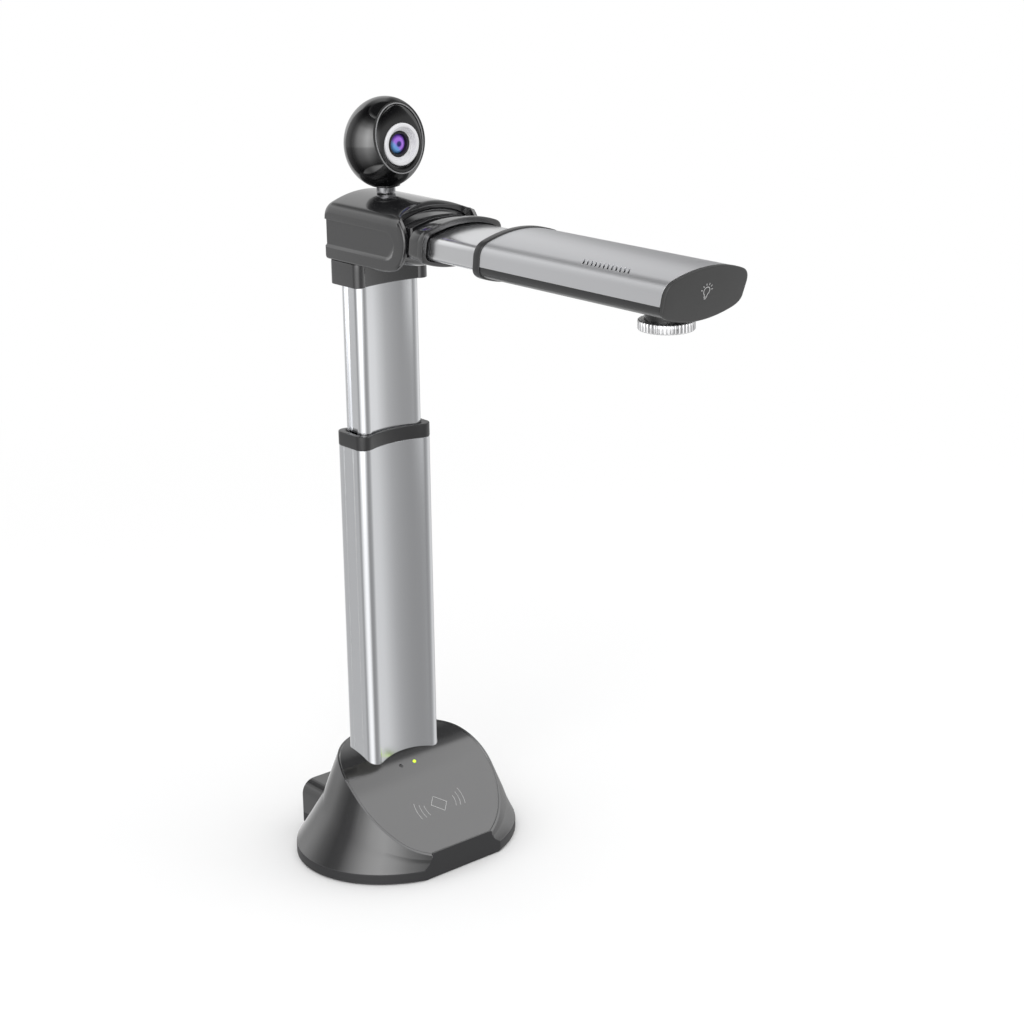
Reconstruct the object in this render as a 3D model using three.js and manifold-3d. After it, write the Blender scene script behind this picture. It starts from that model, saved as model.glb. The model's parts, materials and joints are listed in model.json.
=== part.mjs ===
// A telescopic document camera (visualiser): a weighted base with a card reader face, a two-stage
// column, a folding and sliding camera arm, and a ball webcam on top. Millimetres, +Z up.
// The origin is on the column's axis at desk level, the arm points to -Y, and +X is the right-hand
// side of the machine for somebody who faces along +Y.
import * as THREE from 'three';
import { mergeVertices } from 'three/addons/utils/BufferGeometryUtils.js';
import Module from 'manifold-3d';

const wasm = await Module();
wasm.setup();

// ---------------------------------------------------------------- driving dimensions
const GAP = 0.3;                 // air between a piece and the neighbour it is cut to

// base
const FOOT = 0.6;                // how far the rubber feet lift the shell off the desk
const RIM = { rx: 73.5, ry: 61.4, cy: -11.1, top: 6.9 };
const WALL = { rx: 61.9, ry: 49.7, cy: -16, at: 30, rxFall: 0.443, ryFall: 0.291 };
const CREASE = { back: 38, bend: 0.003, y: 25 };
const FRONT_Y = -67.1;           // the upright front wall
const SHELL_T = 2.4;             // wall thickness of the base shell
const FACE_T = 2;                // thickness of the inset face plate
const FACE_EDGE = 1.3;           // width of the shell's rim around the face plate
const LIP = { half: 23.1, top: 16.6, back: -65.6 };
const PORT_BOX = { half: 37, back: 46.5, front: 18, top: 28.5, round: 9, wall: 2.4 };
const DOOR = { half: 32, low: 6, high: 24 };             // opening for the port panel
const MAT = { inset: 6.5, high: 1 };     // non-slip mat under the base
const FLOOR = { low: 1, high: 3 };                       // steel plate that closes the base
const BALLAST = { rx: 63, ry: 50, cy: -11, top: 9.4, gapX: 34, gapY: 20 };
const MAIN_BOARD = { half: 33, front: 16, rear: 44, z: 10 };
const SOCKETS = [
  { name: 'usb_b_socket', x: -20.5, half: 6, high: 10.9, wall: 1.3 },
  { name: 'usb_a_socket_left', x: 0, half: 7, high: 6.6, wall: 0.8 },
  { name: 'usb_a_socket_right', x: 20, half: 7, high: 6.6, wall: 0.8 },
];
const ANTENNA = { half: 26, reach: 17, y: -42, depth: 9 };
const INDICATOR_Y = -19.2;       // line of the LED and the microphone hole
const LED_X = 1.2;
const MIC_X = -9.2;
const BOARD_T = 1.6;

// column
const LOWER = {
  half: 27, deep: 13.1, bead: 5.6, dish: 4.2, turn: 22.1, bottom: 10, top: 259.4, wall: 1.2,
};
const INNER = {
  half: 22.9, deep: 9.6, bead: 4.9, dish: 3.6, turn: 22.6, bottom: 140, top: 368, wall: 1.6,
};
const INNER_CORE = {
  half: INNER.half - INNER.wall - 1.4,
  deep: INNER.deep - INNER.wall,
  bead: 3.3,
  dish: INNER.dish,
  turn: 24.4,
};
const COLLAR = { half: 27.15, deep: 13.25, bead: 5.7, dish: 4.2, turn: 22.1, top: 267.9, spigot: 8 };
const BRACKET = { half: 26.8, deep: 13.6, bead: 4.2, dish: 3.4, turn: 50, bottom: 356.9, top: 371.2 };
const CHANNEL = { half: 4.2, deep: 1.4 };  // recessed track along each side of the inner column
const FOOT_BLOCK = { half: 33, deep: 19, spigotTop: 36, screwX: 14, screwTop: 24, screwR: 2.2 };
const SPRING = { x: LOWER.half - 3.7, half: 4, thick: 0.6 };

// head
const HINGE = { y: -43, z: 389.6 };       // axis of the arm's fold, along X
const HEAD = { half: 28, back: 15, bottom: 371.4, crest: 409.5, arch: 0.0085, round: 2.5 };
const NOSE = { r: 17.8, front: -51 };
const PANEL = { low: 378.4, high: 394.8, deep: 1.2, front: -51.2 };
const DRUM = { half: 24.4, r: 17.4, taper: 0.0085 };
const PIN_R = 3;

// arm: one lens-shaped section, shared by the sleeve, the inner arm and the socket
const ARM = { half: 28.7, crest: 404.4, keel: 375.4, bow: 0.0077, sideLow: 385.5, sideHigh: 392.5 };
const SEAM_Z = 386.8;            // where the silver shell meets the dark one
const SKIN = 1.8;                // wall thickness of the arm's shells
const INNER_INSET = 4.2;         // how much smaller the inner arm is, all round
const INNER_DROP = 1;            // how much nearer its underside is to the sleeve's
const INNER_WALL = 1.5;
const SOCKET = { back: -63.4, front: -72.6, flange: -77, slope: 0.25 };
const INNER_ARM = { back: -66.3, front: -172 };
const SLEEVE = { rear: -121.3, shell: -126.8, front: -263.8, cap: -266.6, rearSlope: 0.2, frontSlope: 0.3 };
const LENS = { y: -239.3, barrel: 11.2, ring: 14.75, ringLow: 367.5, ringHigh: 372.9 };
const LAMP = { back: -214.5, front: -221.5, half: 11, low: 377 };  // LED window beside the lens
const VENT = { count: 12, first: -203, pitch: 3, x: -23, long: 4.6, wide: 1.3 };

// webcam
const BALL = { y: -8.5, z: 438.3, rx: 23.3, rz: 26.5, lean: 12.9, flat: 413.6, wall: 1.8 };
const FACE_RIM = { y: -21.9, z: 441.7, rx: 16.6, rz: 19.8, lean: -10, lip: 0.9, bulge: 0.8 };
const EYE = { z: 438.65, front: -25.7, edge: -24.9, ring: 12.3, mouth: 9.8, barrel: 7.3 };
const NECK = { y: -8.7, r: 5.5, foot: 409.6, top: 413, throat: 3.1, ball: 5, ballZ: 418 };

// ---------------------------------------------------------------- materials
function plastic(color, roughness) {
  return new THREE.MeshStandardMaterial({ color, roughness, metalness: 0 });
}

function metal(color, roughness) {
  return new THREE.MeshStandardMaterial({ color, roughness, metalness: 1 });
}

const LOOK = {
  base: plastic(0x4b4b4d, 0.35),
  face: plastic(0x6f6f70, 0.45),
  head: plastic(0x454547, 0.25),
  dark: plastic(0x3a3a3c, 0.4),
  gloss: plastic(0x141416, 0.12),
  aluminium: metal(0xc4c6cb, 0.35),
  polished: metal(0xd9dadd, 0.22),
  steel: metal(0xb4b6b8, 0.35),
  chrome: metal(0xe8e8ea, 0.12),
  white: plastic(0xe6e7ea, 0.3),
  rubber: plastic(0x1c1c1c, 0.9),
  board: plastic(0x1f6b3a, 0.6),
  nylon: plastic(0xdedcd2, 0.5),
  glass: plastic(0x2b2350, 0.05),
  led: plastic(0xb8d63a, 0.2),
  clear: plastic(0xf2f2ee, 0.25),
};

// ---------------------------------------------------------------- solids
// A closed three.js geometry as a solid that can be joined and cut.
function solid(geometry) {
  const bare = geometry.index ? geometry.toNonIndexed() : geometry.clone();
  bare.deleteAttribute('normal');
  bare.deleteAttribute('uv');
  const merged = mergeVertices(bare, 1e-4);
  const mesh = new wasm.Mesh({
    numProp: 3,
    vertProperties: merged.attributes.position.array,
    triVerts: new Uint32Array(merged.index.array),
  });
  return new wasm.Manifold(mesh);
}

function geometryOf(body) {
  const mesh = body.getMesh();
  const geometry = new THREE.BufferGeometry();
  geometry.setAttribute('position', new THREE.BufferAttribute(mesh.vertProperties, 3));
  geometry.setIndex(new THREE.BufferAttribute(mesh.triVerts, 1));
  geometry.computeVertexNormals();
  return geometry;
}

function join(first, ...rest) {
  return rest.reduce((whole, part) => whole.add(part), first);
}

function cut(first, ...rest) {
  return rest.reduce((whole, part) => whole.subtract(part), first);
}

function common(first, ...rest) {
  return rest.reduce((whole, part) => whole.intersect(part), first);
}

// A box between two corners.
function block(x0, x1, y0, y1, z0, z1) {
  const box = new THREE.BoxGeometry(x1 - x0, y1 - y0, z1 - z0);
  return solid(box.translate((x0 + x1) / 2, (y0 + y1) / 2, (z0 + z1) / 2));
}

// An upright round bar or cone frustum.
function bar(r, x, y, z0, z1, rTop = r, segments = 28) {
  const bore = new THREE.CylinderGeometry(rTop, r, z1 - z0, segments);
  return solid(bore.rotateX(Math.PI / 2).translate(x, y, (z0 + z1) / 2));
}

// A round bar along X, about the hinge axis unless another place is given.
function crossBar(r, x0, x1, y = HINGE.y, z = HINGE.z, segments = 28) {
  const round = new THREE.CylinderGeometry(r, r, x1 - x0, segments);
  return solid(round.rotateZ(Math.PI / 2).translate((x0 + x1) / 2, y, z));
}

// A round bar along Y.
function frontBar(r, y0, y1, x, z, rFront = r, segments = 36) {
  const round = new THREE.CylinderGeometry(r, rFront, y1 - y0, segments);
  return solid(round.translate(x, (y0 + y1) / 2, z));
}

function extruded(shape, depth, curveSegments = 8) {
  return new THREE.ExtrudeGeometry(shape, { depth, bevelEnabled: false, curveSegments });
}

// A plan outline (x, y) raised from z0 to z1.
function raise(shape, z0, z1, curveSegments) {
  return solid(extruded(shape, z1 - z0, curveSegments).translate(0, 0, z0));
}

// A front outline (x, z) run along Y from yBack forward to yFront.
function runForward(shape, yBack, yFront, curveSegments) {
  return solid(extruded(shape, yBack - yFront, curveSegments).rotateX(Math.PI / 2).translate(0, yBack, 0));
}

// A side outline (y, z) run across from x0 to x1.
function runAcross(shape, x0, x1, curveSegments) {
  const across = new THREE.Matrix4().makeBasis(
    new THREE.Vector3(0, 1, 0),
    new THREE.Vector3(0, 0, 1),
    new THREE.Vector3(1, 0, 0),
  );
  return solid(extruded(shape, x1 - x0, curveSegments).applyMatrix4(across).translate(x0, 0, 0));
}

// A closed skin over rings of points that run the same way round, lowest ring first.
function loft(rings) {
  const count = rings[0].length;
  const points = rings.flat();
  const faces = [];
  for (let level = 0; level < rings.length - 1; level += 1) {
    for (let i = 0; i < count; i += 1) {
      const a = level * count + i;
      const b = level * count + ((i + 1) % count);
      faces.push(a, b, b + count, a, b + count, a + count);
    }
  }
  const top = (rings.length - 1) * count;
  for (let i = 1; i < count - 1; i += 1) {
    faces.push(0, i + 1, i);
    faces.push(top, top + i, top + i + 1);
  }
  const geometry = new THREE.BufferGeometry().setFromPoints(points);
  geometry.setIndex(faces);
  return solid(geometry);
}

// Everything in front of an inclined plane that crosses the height z at y and leans forward by
// slope as it rises.
function aheadOf(y, slope, z = HINGE.z) {
  const reach = 400;
  const shape = new THREE.Shape();
  shape.moveTo(y + slope * reach, z - reach);
  shape.lineTo(y - slope * reach, z + reach);
  shape.lineTo(y - 2 * reach, z + reach);
  shape.lineTo(y - 2 * reach, z - reach);
  shape.closePath();
  return runAcross(shape, -100, 100);
}

const model = new THREE.Group();

function piece(name, body, material, place = model) {
  const mesh = new THREE.Mesh(geometryOf(body), material.clone());
  mesh.name = name;
  place.add(mesh);
  return mesh;
}

// ---------------------------------------------------------------- base
const RING_POINTS = 60;
const FACE_STEPS = 18;

function ellipseRing(rx, ry, cy, height) {
  const ring = [];
  for (let i = 0; i < RING_POINTS; i += 1) {
    const angle = (i / RING_POINTS) * Math.PI * 2;
    const x = rx * Math.cos(angle);
    const y = cy + ry * Math.sin(angle);
    ring.push(new THREE.Vector3(x, y, height(y)));
  }
  return ring;
}

function wallRing(z, inset) {
  const rise = z - WALL.at;
  const rx = WALL.rx - WALL.rxFall * rise - inset;
  const ry = WALL.ry - WALL.ryFall * rise - inset;
  return ellipseRing(rx, ry, WALL.cy, () => z);
}

// The line where the flared skirt meets the steeper wall: it falls towards the front.
function creaseRing(inset) {
  const ring = [];
  for (let i = 0; i < RING_POINTS; i += 1) {
    const angle = (i / RING_POINTS) * Math.PI * 2;
    let z = WALL.at;
    let y = 0;
    let x = 0;
    for (let turn = 0; turn < 6; turn += 1) {
      const rise = z - WALL.at;
      x = (WALL.rx - WALL.rxFall * rise - inset) * Math.cos(angle);
      y = WALL.cy + (WALL.ry - WALL.ryFall * rise - inset) * Math.sin(angle);
      z = CREASE.back - CREASE.bend * (CREASE.y - y) ** 2;
    }
    ring.push(new THREE.Vector3(x, y, z - inset * 0.6));
  }
  return ring;
}

// The side view of the base's top, from the back over to the card ledge, dropped by a depth.
function faceCurve(drop) {
  const points = [
    [34, 63.6],
    [16, 64.1],
    [-2, 61.9],
    [-14, 57.2],
    [-26.6, 49.9],
    [-38.7, 40.1],
    [-49.8, 30.2],
    [-58.5, 21.8],
    [-68, 13.6],
  ];
  const curve = new THREE.SplineCurve(points.map(([y, z]) => new THREE.Vector2(y, z)));
  return curve.getPoints(FACE_STEPS).map((p, i) => {
    const t = curve.getTangent(i / FACE_STEPS);
    return new THREE.Vector2(p.x - t.y * drop, p.y + t.x * drop);
  });
}

// Everything under the top curve, as a slab across the base.
function underFace(drop, half = 90) {
  const curve = faceCurve(drop);
  const shape = new THREE.Shape();
  shape.moveTo(60, -5);
  shape.lineTo(60, curve[0].y);
  curve.forEach((p) => shape.lineTo(p.x, p.y));
  shape.lineTo(-80, curve.at(-1).y);
  shape.lineTo(-80, -5);
  shape.closePath();
  return runAcross(shape, -half, half);
}

// The base's outer form, shrunk by an inset and with its top dropped.
function baseForm(inset, drop, bottom) {
  const rim = (z) => ellipseRing(RIM.rx - inset, RIM.ry - inset, RIM.cy, () => z);
  const body = loft([rim(bottom), rim(RIM.top), creaseRing(inset), wallRing(72, inset)]);
  const behindFront = block(-90, 90, FRONT_Y + inset, 80, -5, 90);
  return common(body, underFace(drop), behindFront);
}

function portBox(inset, bottom) {
  const half = PORT_BOX.half - inset;
  const top = PORT_BOX.top - inset;
  const round = PORT_BOX.round - inset;
  const shape = new THREE.Shape();
  shape.moveTo(half, bottom);
  shape.lineTo(half, top - round);
  shape.absarc(half - round, top - round, round, 0, Math.PI / 2);
  shape.absarc(round - half, top - round, round, Math.PI / 2, Math.PI);
  shape.lineTo(-half, bottom);
  shape.closePath();
  return runForward(shape, PORT_BOX.back - inset, PORT_BOX.front, 6);
}

// Where the face plate sits: inside the wall by an inset, above the dropped curve.
function faceSeat(inset, drop) {
  const inside = loft([wallRing(8, inset), wallRing(75, inset)]);
  const ahead = block(-90, 90, LIP.back + 0.3 * (inset > FACE_EDGE ? 1 : 0), 80, 0, 90);
  return cut(common(inside, ahead), underFace(drop));
}

// A column's section: a bead at each corner that turns into a dished front and back.
function columnOutline({ half, deep, bead, dish, turn: past }, grow = 0) {
  const r = bead + grow;
  const x = half - bead;
  const y = deep - bead;
  const turn = THREE.MathUtils.degToRad(past);
  const edgeX = x - r * Math.sin(turn);
  const edgeY = y + r * Math.cos(turn);
  const sag = edgeY - (deep + grow - dish);
  const reach = (edgeX ** 2 + sag ** 2) / (2 * sag);
  const sweep = Math.asin(edgeX / reach);
  const middle = deep + grow - dish + reach;
  const right = Math.PI / 2;
  const shape = new THREE.Shape();
  shape.moveTo(x + r, -y);
  shape.absarc(x, y, r, 0, right + turn);
  shape.absarc(0, middle, reach, -right + sweep, -right - sweep, true);
  shape.absarc(-x, y, r, right - turn, Math.PI);
  shape.absarc(-x, -y, r, Math.PI, 3 * right + turn);
  shape.absarc(0, -middle, reach, right + sweep, right - sweep, true);
  shape.absarc(x, -y, r, 3 * right - turn, 4 * right);
  return shape;
}

function columnBar(section, grow, z0, z1) {
  return raise(columnOutline(section, grow), z0, z1, 5);
}

// The place and tilt of the face at a given y, with Z square out of it.
function faceMatrix(x, y) {
  const curve = faceCurve(0);
  const i = curve.findIndex((p) => p.x < y);
  const a = curve[i - 1];
  const b = curve[i];
  const z = THREE.MathUtils.mapLinear(y, a.x, b.x, a.y, b.y);
  const tilt = Math.atan2(a.y - b.y, a.x - b.x);
  return new THREE.Matrix4().makeRotationX(tilt).setPosition(x, y, z);
}

// A group for the pieces that sit square behind the face, at a depth below its surface.
function facePlace(x, y, depth) {
  const place = new THREE.Group();
  place.applyMatrix4(faceMatrix(x, y));
  place.translateZ(-depth);
  model.add(place);
  return place;
}

function faceHole(r, x) {
  const bore = new THREE.CylinderGeometry(r, r, 14, 24).rotateX(Math.PI / 2);
  return solid(bore.applyMatrix4(faceMatrix(x, INDICATOR_Y)));
}

function buildBase() {
  const columnHole = columnBar(LOWER, GAP, 8, 90);
  const hollow = join(baseForm(SHELL_T, FACE_T + SHELL_T, -2), portBox(PORT_BOX.wall, -2));
  const panelDoor = block(-DOOR.half, DOOR.half, 40, 50, DOOR.low, DOOR.high);
  const lip = block(-LIP.half, LIP.half, FRONT_Y, LIP.back, 8, LIP.top);
  const sensors = [LED_X, MIC_X].map((x) => faceHole(2.2, x));
  const outer = join(baseForm(0, 0, FOOT), portBox(0, FOOT));
  const bare = cut(outer, hollow, panelDoor, faceSeat(FACE_EDGE, FACE_T));
  piece('base_shell', cut(join(bare, lip), columnHole, ...sensors), LOOK.base);

  const plate = common(faceSeat(FACE_EDGE + 0.5, FACE_T - 0.1), underFace(0));
  const holes = [LED_X, MIC_X].map((x) => faceHole(1.5, x));
  piece('base_face_plate', cut(plate, columnHole, ...holes), LOOK.face);

  const inset = SHELL_T + GAP;
  const floor = ellipseSlab(RIM.rx - inset, RIM.ry - inset, RIM.cy, FLOOR.low, FLOOR.high);
  const behindFront = block(-90, 90, FRONT_Y + inset, 90, 0, 20);
  piece('base_bottom_plate', common(floor, behindFront), LOOK.steel);

  const weight = ellipseSlab(BALLAST.rx, BALLAST.ry, BALLAST.cy, FLOOR.high, BALLAST.top);
  const columnGap = block(-BALLAST.gapX, BALLAST.gapX, -BALLAST.gapY, BALLAST.gapY, 0, 20);
  piece('ballast_weight', cut(weight, columnGap), LOOK.steel);
}

function ellipseSlab(rx, ry, cy, z0, z1) {
  return loft([ellipseRing(rx, ry, cy, () => z0), ellipseRing(rx, ry, cy, () => z1)]);
}

function buildMat() {
  const mat = ellipseSlab(RIM.rx - MAT.inset, RIM.ry - MAT.inset, RIM.cy, 0, MAT.high);
  piece('foot_mat', common(mat, block(-90, 90, FRONT_Y + MAT.inset, 90, -1, 20)), LOOK.rubber);
}

function buildElectronics() {
  const boardTop = MAIN_BOARD.z + BOARD_T;
  const board = block(
    -MAIN_BOARD.half, MAIN_BOARD.half, MAIN_BOARD.front, MAIN_BOARD.rear, MAIN_BOARD.z, boardTop,
  );
  piece('main_board', board, LOOK.board);

  const panelRear = PORT_BOX.back - 0.1;
  const panelHalf = DOOR.half - GAP;
  const panel = block(-panelHalf, panelHalf, panelRear - 2, panelRear, DOOR.low + GAP, DOOR.high - GAP);
  const windows = SOCKETS.map(({ x, half, high }) =>
    block(x - half - 0.5, x + half + 0.5, 40, 50, boardTop - 0.1, boardTop + high + 0.5));
  piece('rear_port_panel', cut(panel, ...windows), LOOK.dark);
  for (const { name, x, half, high, wall } of SOCKETS) {
    const tub = cut(
      block(x - half, x + half, 31, panelRear, boardTop, boardTop + high),
      block(x - half + wall, x + half - wall, 35, 50, boardTop + wall, boardTop + high - wall),
    );
    piece(name, tub, LOOK.steel);
  }

  const antenna = facePlace(0, ANTENNA.y, ANTENNA.depth);
  const loop = block(-ANTENNA.half, ANTENNA.half, -ANTENNA.reach, ANTENNA.reach, -BOARD_T, 0);
  piece('card_antenna_board', loop, LOOK.board, antenna);
  const led = facePlace(LED_X, INDICATOR_Y, 0.8);
  piece('power_led', bar(1.1, 0, 0, -5, 0, 1.1, 20), LOOK.led, led);
  const mic = facePlace(MIC_X, INDICATOR_Y, 5.2);
  piece('microphone', bar(3, 0, 0, -2.6, 0, 3, 24), LOOK.steel, mic);
}

// ---------------------------------------------------------------- column
// The lower column's section has two fine decor lines down each side.
function sideGrooves(half, z0, z1) {
  const lines = [];
  for (const side of [-1, 1]) {
    for (const y of [-4.5, 4.5]) {
      lines.push(block(side * half - 0.4, side * half + 0.4, y - 0.35, y + 0.35, z0, z1));
    }
  }
  return lines;
}

function buildColumn() {
  const tube = cut(
    columnBar(LOWER, 0, LOWER.bottom, LOWER.top),
    columnBar(LOWER, -LOWER.wall, 0, 300),
    ...sideGrooves(LOWER.half, 0, 300),
  );
  piece('lower_column', tube, LOOK.aluminium);

  const { half, deep, spigotTop, screwX, screwR, screwTop } = FOOT_BLOCK;
  const foot = join(
    block(-half, half, -deep, deep, FLOOR.high, LOWER.bottom - 0.1),
    columnBar(LOWER, -LOWER.wall - GAP / 2, 6, spigotTop),
  );
  const screwHoles = [-screwX, screwX].map((x) => bar(screwR + 0.2, x, 0, 0, screwTop + 6));
  piece('column_foot', cut(foot, ...screwHoles), LOOK.dark);
  for (const [side, x] of [['left', -screwX], ['right', screwX]]) {
    piece(`foot_screw_${side}`, bar(screwR, x, 0, FLOOR.high + 0.1, screwTop, screwR, 20), LOOK.steel);
  }

  const spigot = cut(
    columnBar(LOWER, -LOWER.wall - 0.12, LOWER.top - COLLAR.spigot, LOWER.top + 1),
    block(-INNER.half - 0.5, INNER.half + 0.5, -20, 20, 0, LOWER.top),
  );
  const collar = join(columnBar(COLLAR, 0, LOWER.top + 0.1, COLLAR.top), spigot);
  piece('column_collar', cut(collar, columnBar(INNER, 0.35, 0, 400)), LOOK.dark);
}

function sideChannels(grow, z0, z1) {
  const inner = INNER.half - CHANNEL.deep - grow;
  return [-1, 1].map((side) => {
    const xs = [side * inner, side * (INNER.half + 2)].sort((a, b) => a - b);
    return block(xs[0], xs[1], -CHANNEL.half + grow, CHANNEL.half - grow, z0, z1);
  });
}

function buildInnerColumn(place) {
  const tube = cut(
    columnBar(INNER, 0, INNER.bottom, INNER.top),
    columnBar(INNER_CORE, 0, 0, 500),
    ...sideChannels(0, 0, 500),
  );
  piece('inner_column', tube, LOOK.polished, place);

  const shoe = join(
    columnBar(LOWER, -LOWER.wall - 0.35, INNER.bottom - 10, INNER.bottom - 0.1),
    columnBar(INNER_CORE, -0.15, INNER.bottom - 6, INNER.bottom + 10),
  );
  const { x, half, thick } = SPRING;
  const low = INNER.bottom - 8.5;
  const springSeat = block(x - GAP, x + 10, -half - 1, half + 1, low - 0.5, low + 7.5);
  const cableWay = block(-9, 9, -3, 3, 100, 200);
  piece('column_slider', cut(shoe, springSeat, cableWay), LOOK.nylon, place);
  const leaf = block(x, x + thick, -half, half, low, low + 7);
  const bow = block(x + thick - 0.1, x + 1.6, -half, half, low + 2.5, low + 4.5);
  piece('slider_spring', join(leaf, bow), LOOK.steel, place);
}

// ---------------------------------------------------------------- head
function headArch(half, crest, bottom, bow, shoulder) {
  const edge = half - shoulder;
  const edgeZ = crest - bow * edge ** 2;
  const cornerZ = edgeZ - 2 * bow * edge * shoulder;
  const shape = new THREE.Shape();
  shape.moveTo(half, bottom);
  shape.lineTo(half, cornerZ - shoulder);
  shape.quadraticCurveTo(half, cornerZ, edge, edgeZ);
  shape.quadraticCurveTo(0, crest + bow * edge ** 2, -edge, edgeZ);
  shape.quadraticCurveTo(-half, cornerZ, -half, cornerZ - shoulder);
  shape.lineTo(-half, bottom);
  shape.closePath();
  return shape;
}

// The head's side view: square at the back, with a round nose about the hinge.
function headSide(inset) {
  const r = NOSE.r - inset;
  const back = HEAD.back - inset;
  const round = 3;
  const up = THREE.MathUtils.degToRad(50);
  const shape = new THREE.Shape();
  shape.moveTo(back, HEAD.bottom + round);
  shape.lineTo(back, HEAD.crest - 6);
  shape.quadraticCurveTo(back, HEAD.crest + 2, back - 6, HEAD.crest + 2);
  shape.lineTo(HINGE.y - r * Math.cos(up) + 8, HEAD.crest + 2);
  shape.lineTo(HINGE.y - r * Math.cos(up), HINGE.z + r * Math.sin(up));
  shape.absarc(HINGE.y, HINGE.z, r, Math.PI - up, 1.5 * Math.PI);
  shape.lineTo(HINGE.y, HEAD.bottom);
  shape.lineTo(back - round, HEAD.bottom);
  shape.closePath();
  return shape;
}

function headPlan(inset) {
  const half = HEAD.half - inset;
  const back = HEAD.back - inset;
  const round = Math.max(HEAD.round - inset, 0.5);
  const shape = new THREE.Shape();
  shape.moveTo(half, -70);
  shape.lineTo(half, back - round);
  shape.absarc(half - round, back - round, round, 0, Math.PI / 2);
  shape.absarc(round - half, back - round, round, Math.PI / 2, Math.PI);
  shape.lineTo(-half, -70);
  shape.closePath();
  return shape;
}

function barrelBar(half, r, grow) {
  const profile = [new THREE.Vector2(0, -half)];
  for (let i = 0; i <= 8; i += 1) {
    const x = THREE.MathUtils.lerp(-half, half, i / 8);
    profile.push(new THREE.Vector2(r + grow - DRUM.taper * x * x, x));
  }
  profile.push(new THREE.Vector2(0, half));
  const barrel = new THREE.LatheGeometry(profile, 40);
  return solid(barrel.rotateZ(-Math.PI / 2).translate(0, HINGE.y, HINGE.z));
}

// The band that runs round the sides and back, pressed in a little from the outer form.
function headPanel(outer) {
  const mid = (PANEL.low + PANEL.high) / 2;
  const r = (PANEL.high - PANEL.low) / 2;
  const shape = new THREE.Shape();
  shape.moveTo(30, PANEL.low);
  shape.lineTo(30, PANEL.high);
  shape.absarc(PANEL.front + r, mid, r, Math.PI / 2, 1.5 * Math.PI);
  shape.closePath();
  const band = runAcross(shape, -40, 40, 8);
  const kept = raise(headPlan(PANEL.deep), 300, 450, 5);
  return cut(common(outer, band), kept);
}

function buildHead(place) {
  const bracket = cut(
    columnBar(BRACKET, 0, BRACKET.bottom, BRACKET.top),
    columnBar(INNER, 0.12, 0, INNER.top + 0.2),
  );
  piece('column_bracket', bracket, LOOK.dark, place);

  const form = (inset, bottom) =>
    common(
      runForward(headArch(HEAD.half - inset, HEAD.crest - inset, bottom, HEAD.arch, 5 - inset), 20, -70, 8),
      raise(headPlan(inset), bottom, 450, 4),
    );
  const outer = common(form(0, HEAD.bottom), runAcross(headSide(0), -40, 40, 12));
  const room = common(form(2.2, 360), block(-40, 40, -22.4, 40, 360, 407));
  const clearSide = DRUM.half + 0.6;
  const pocket = join(
    barrelBar(clearSide, DRUM.r, 0.5),
    block(-clearSide, clearSide, -80, -28.9, 360, HINGE.z),
    block(-clearSide, clearSide, -80, NOSE.front, 360, 420),
  );
  const pinHole = crossBar(PIN_R + 0.05, -26.8, 26.8);
  const neckHole = bar(4.2, 0, NECK.y, 400, 420);
  const housing = cut(outer, headPanel(outer), room, pocket, pinHole, neckHole);
  piece('head_housing', housing, LOOK.head, place);

  const floor = cut(
    common(raise(headPlan(2.5), HEAD.bottom + 0.1, HEAD.bottom + 2.6), block(-40, 40, -22, 40, 360, 380)),
    bar(6, 0, 0, 360, 380),
  );
  piece('head_base_plate', floor, LOOK.steel, place);
  piece('hinge_pin', crossBar(PIN_R, -26.6, 26.6, HINGE.y, HINGE.z, 28), LOOK.steel, place);
  [['left', -1], ['right', 1]].forEach(([side, way]) => {
    const xs = [way * (DRUM.half + 0.1), way * (DRUM.half + 0.5)].sort((a, b) => a - b);
    const washer = cut(crossBar(8, xs[0], xs[1]), crossBar(PIN_R + 0.1, -40, 40));
    piece(`hinge_washer_${side}`, washer, LOOK.steel, place);
  });
  const nut = cut(bar(8, 0, NECK.y, 402, 405.5), bar(4.4, 0, NECK.y, 390, 420));
  piece('webcam_clamp_nut', nut, LOOK.steel, place);
}

// ---------------------------------------------------------------- arm
// The arm's section, seen from the front: arched top and bottom with short upright sides.
function armOutline(inset, drop) {
  const half = ARM.half - inset;
  const crest = ARM.crest - inset;
  const keel = ARM.keel + inset - drop;
  const shoulder = half - Math.max(5.2 - inset * 0.5, 2);
  const corner = half - Math.max(6 - inset * 0.5, 2);
  const topZ = crest - ARM.bow * shoulder ** 2;
  const lowZ = keel + ARM.bow * corner ** 2;
  const topPull = topZ - 2 * ARM.bow * shoulder * (half - shoulder);
  const lowPull = lowZ + 2 * ARM.bow * corner * (half - corner);
  const sideLow = Math.max(ARM.sideLow, lowZ + 4);
  const shape = new THREE.Shape();
  shape.moveTo(half - 0.5, sideLow);
  shape.lineTo(half, ARM.sideHigh);
  shape.quadraticCurveTo(half, topPull, shoulder, topZ);
  shape.quadraticCurveTo(0, crest + ARM.bow * shoulder ** 2, -shoulder, topZ);
  shape.quadraticCurveTo(-half, topPull, -half, ARM.sideHigh);
  shape.lineTo(0.5 - half, sideLow);
  shape.quadraticCurveTo(0.7 - half, lowPull, -corner, lowZ);
  shape.quadraticCurveTo(0, keel - ARM.bow * corner ** 2, corner, lowZ);
  shape.quadraticCurveTo(half - 0.7, lowPull, half - 0.5, sideLow);
  shape.closePath();
  return shape;
}

function armBar(inset, yBack, yFront, drop = 0) {
  return runForward(armOutline(inset, drop), yBack, yFront, 7);
}

// The inner arm's section, grown or shrunk by a little.
function innerArmBar(grow, yBack, yFront) {
  return armBar(INNER_INSET - grow, yBack, yFront, INNER_DROP);
}

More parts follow.
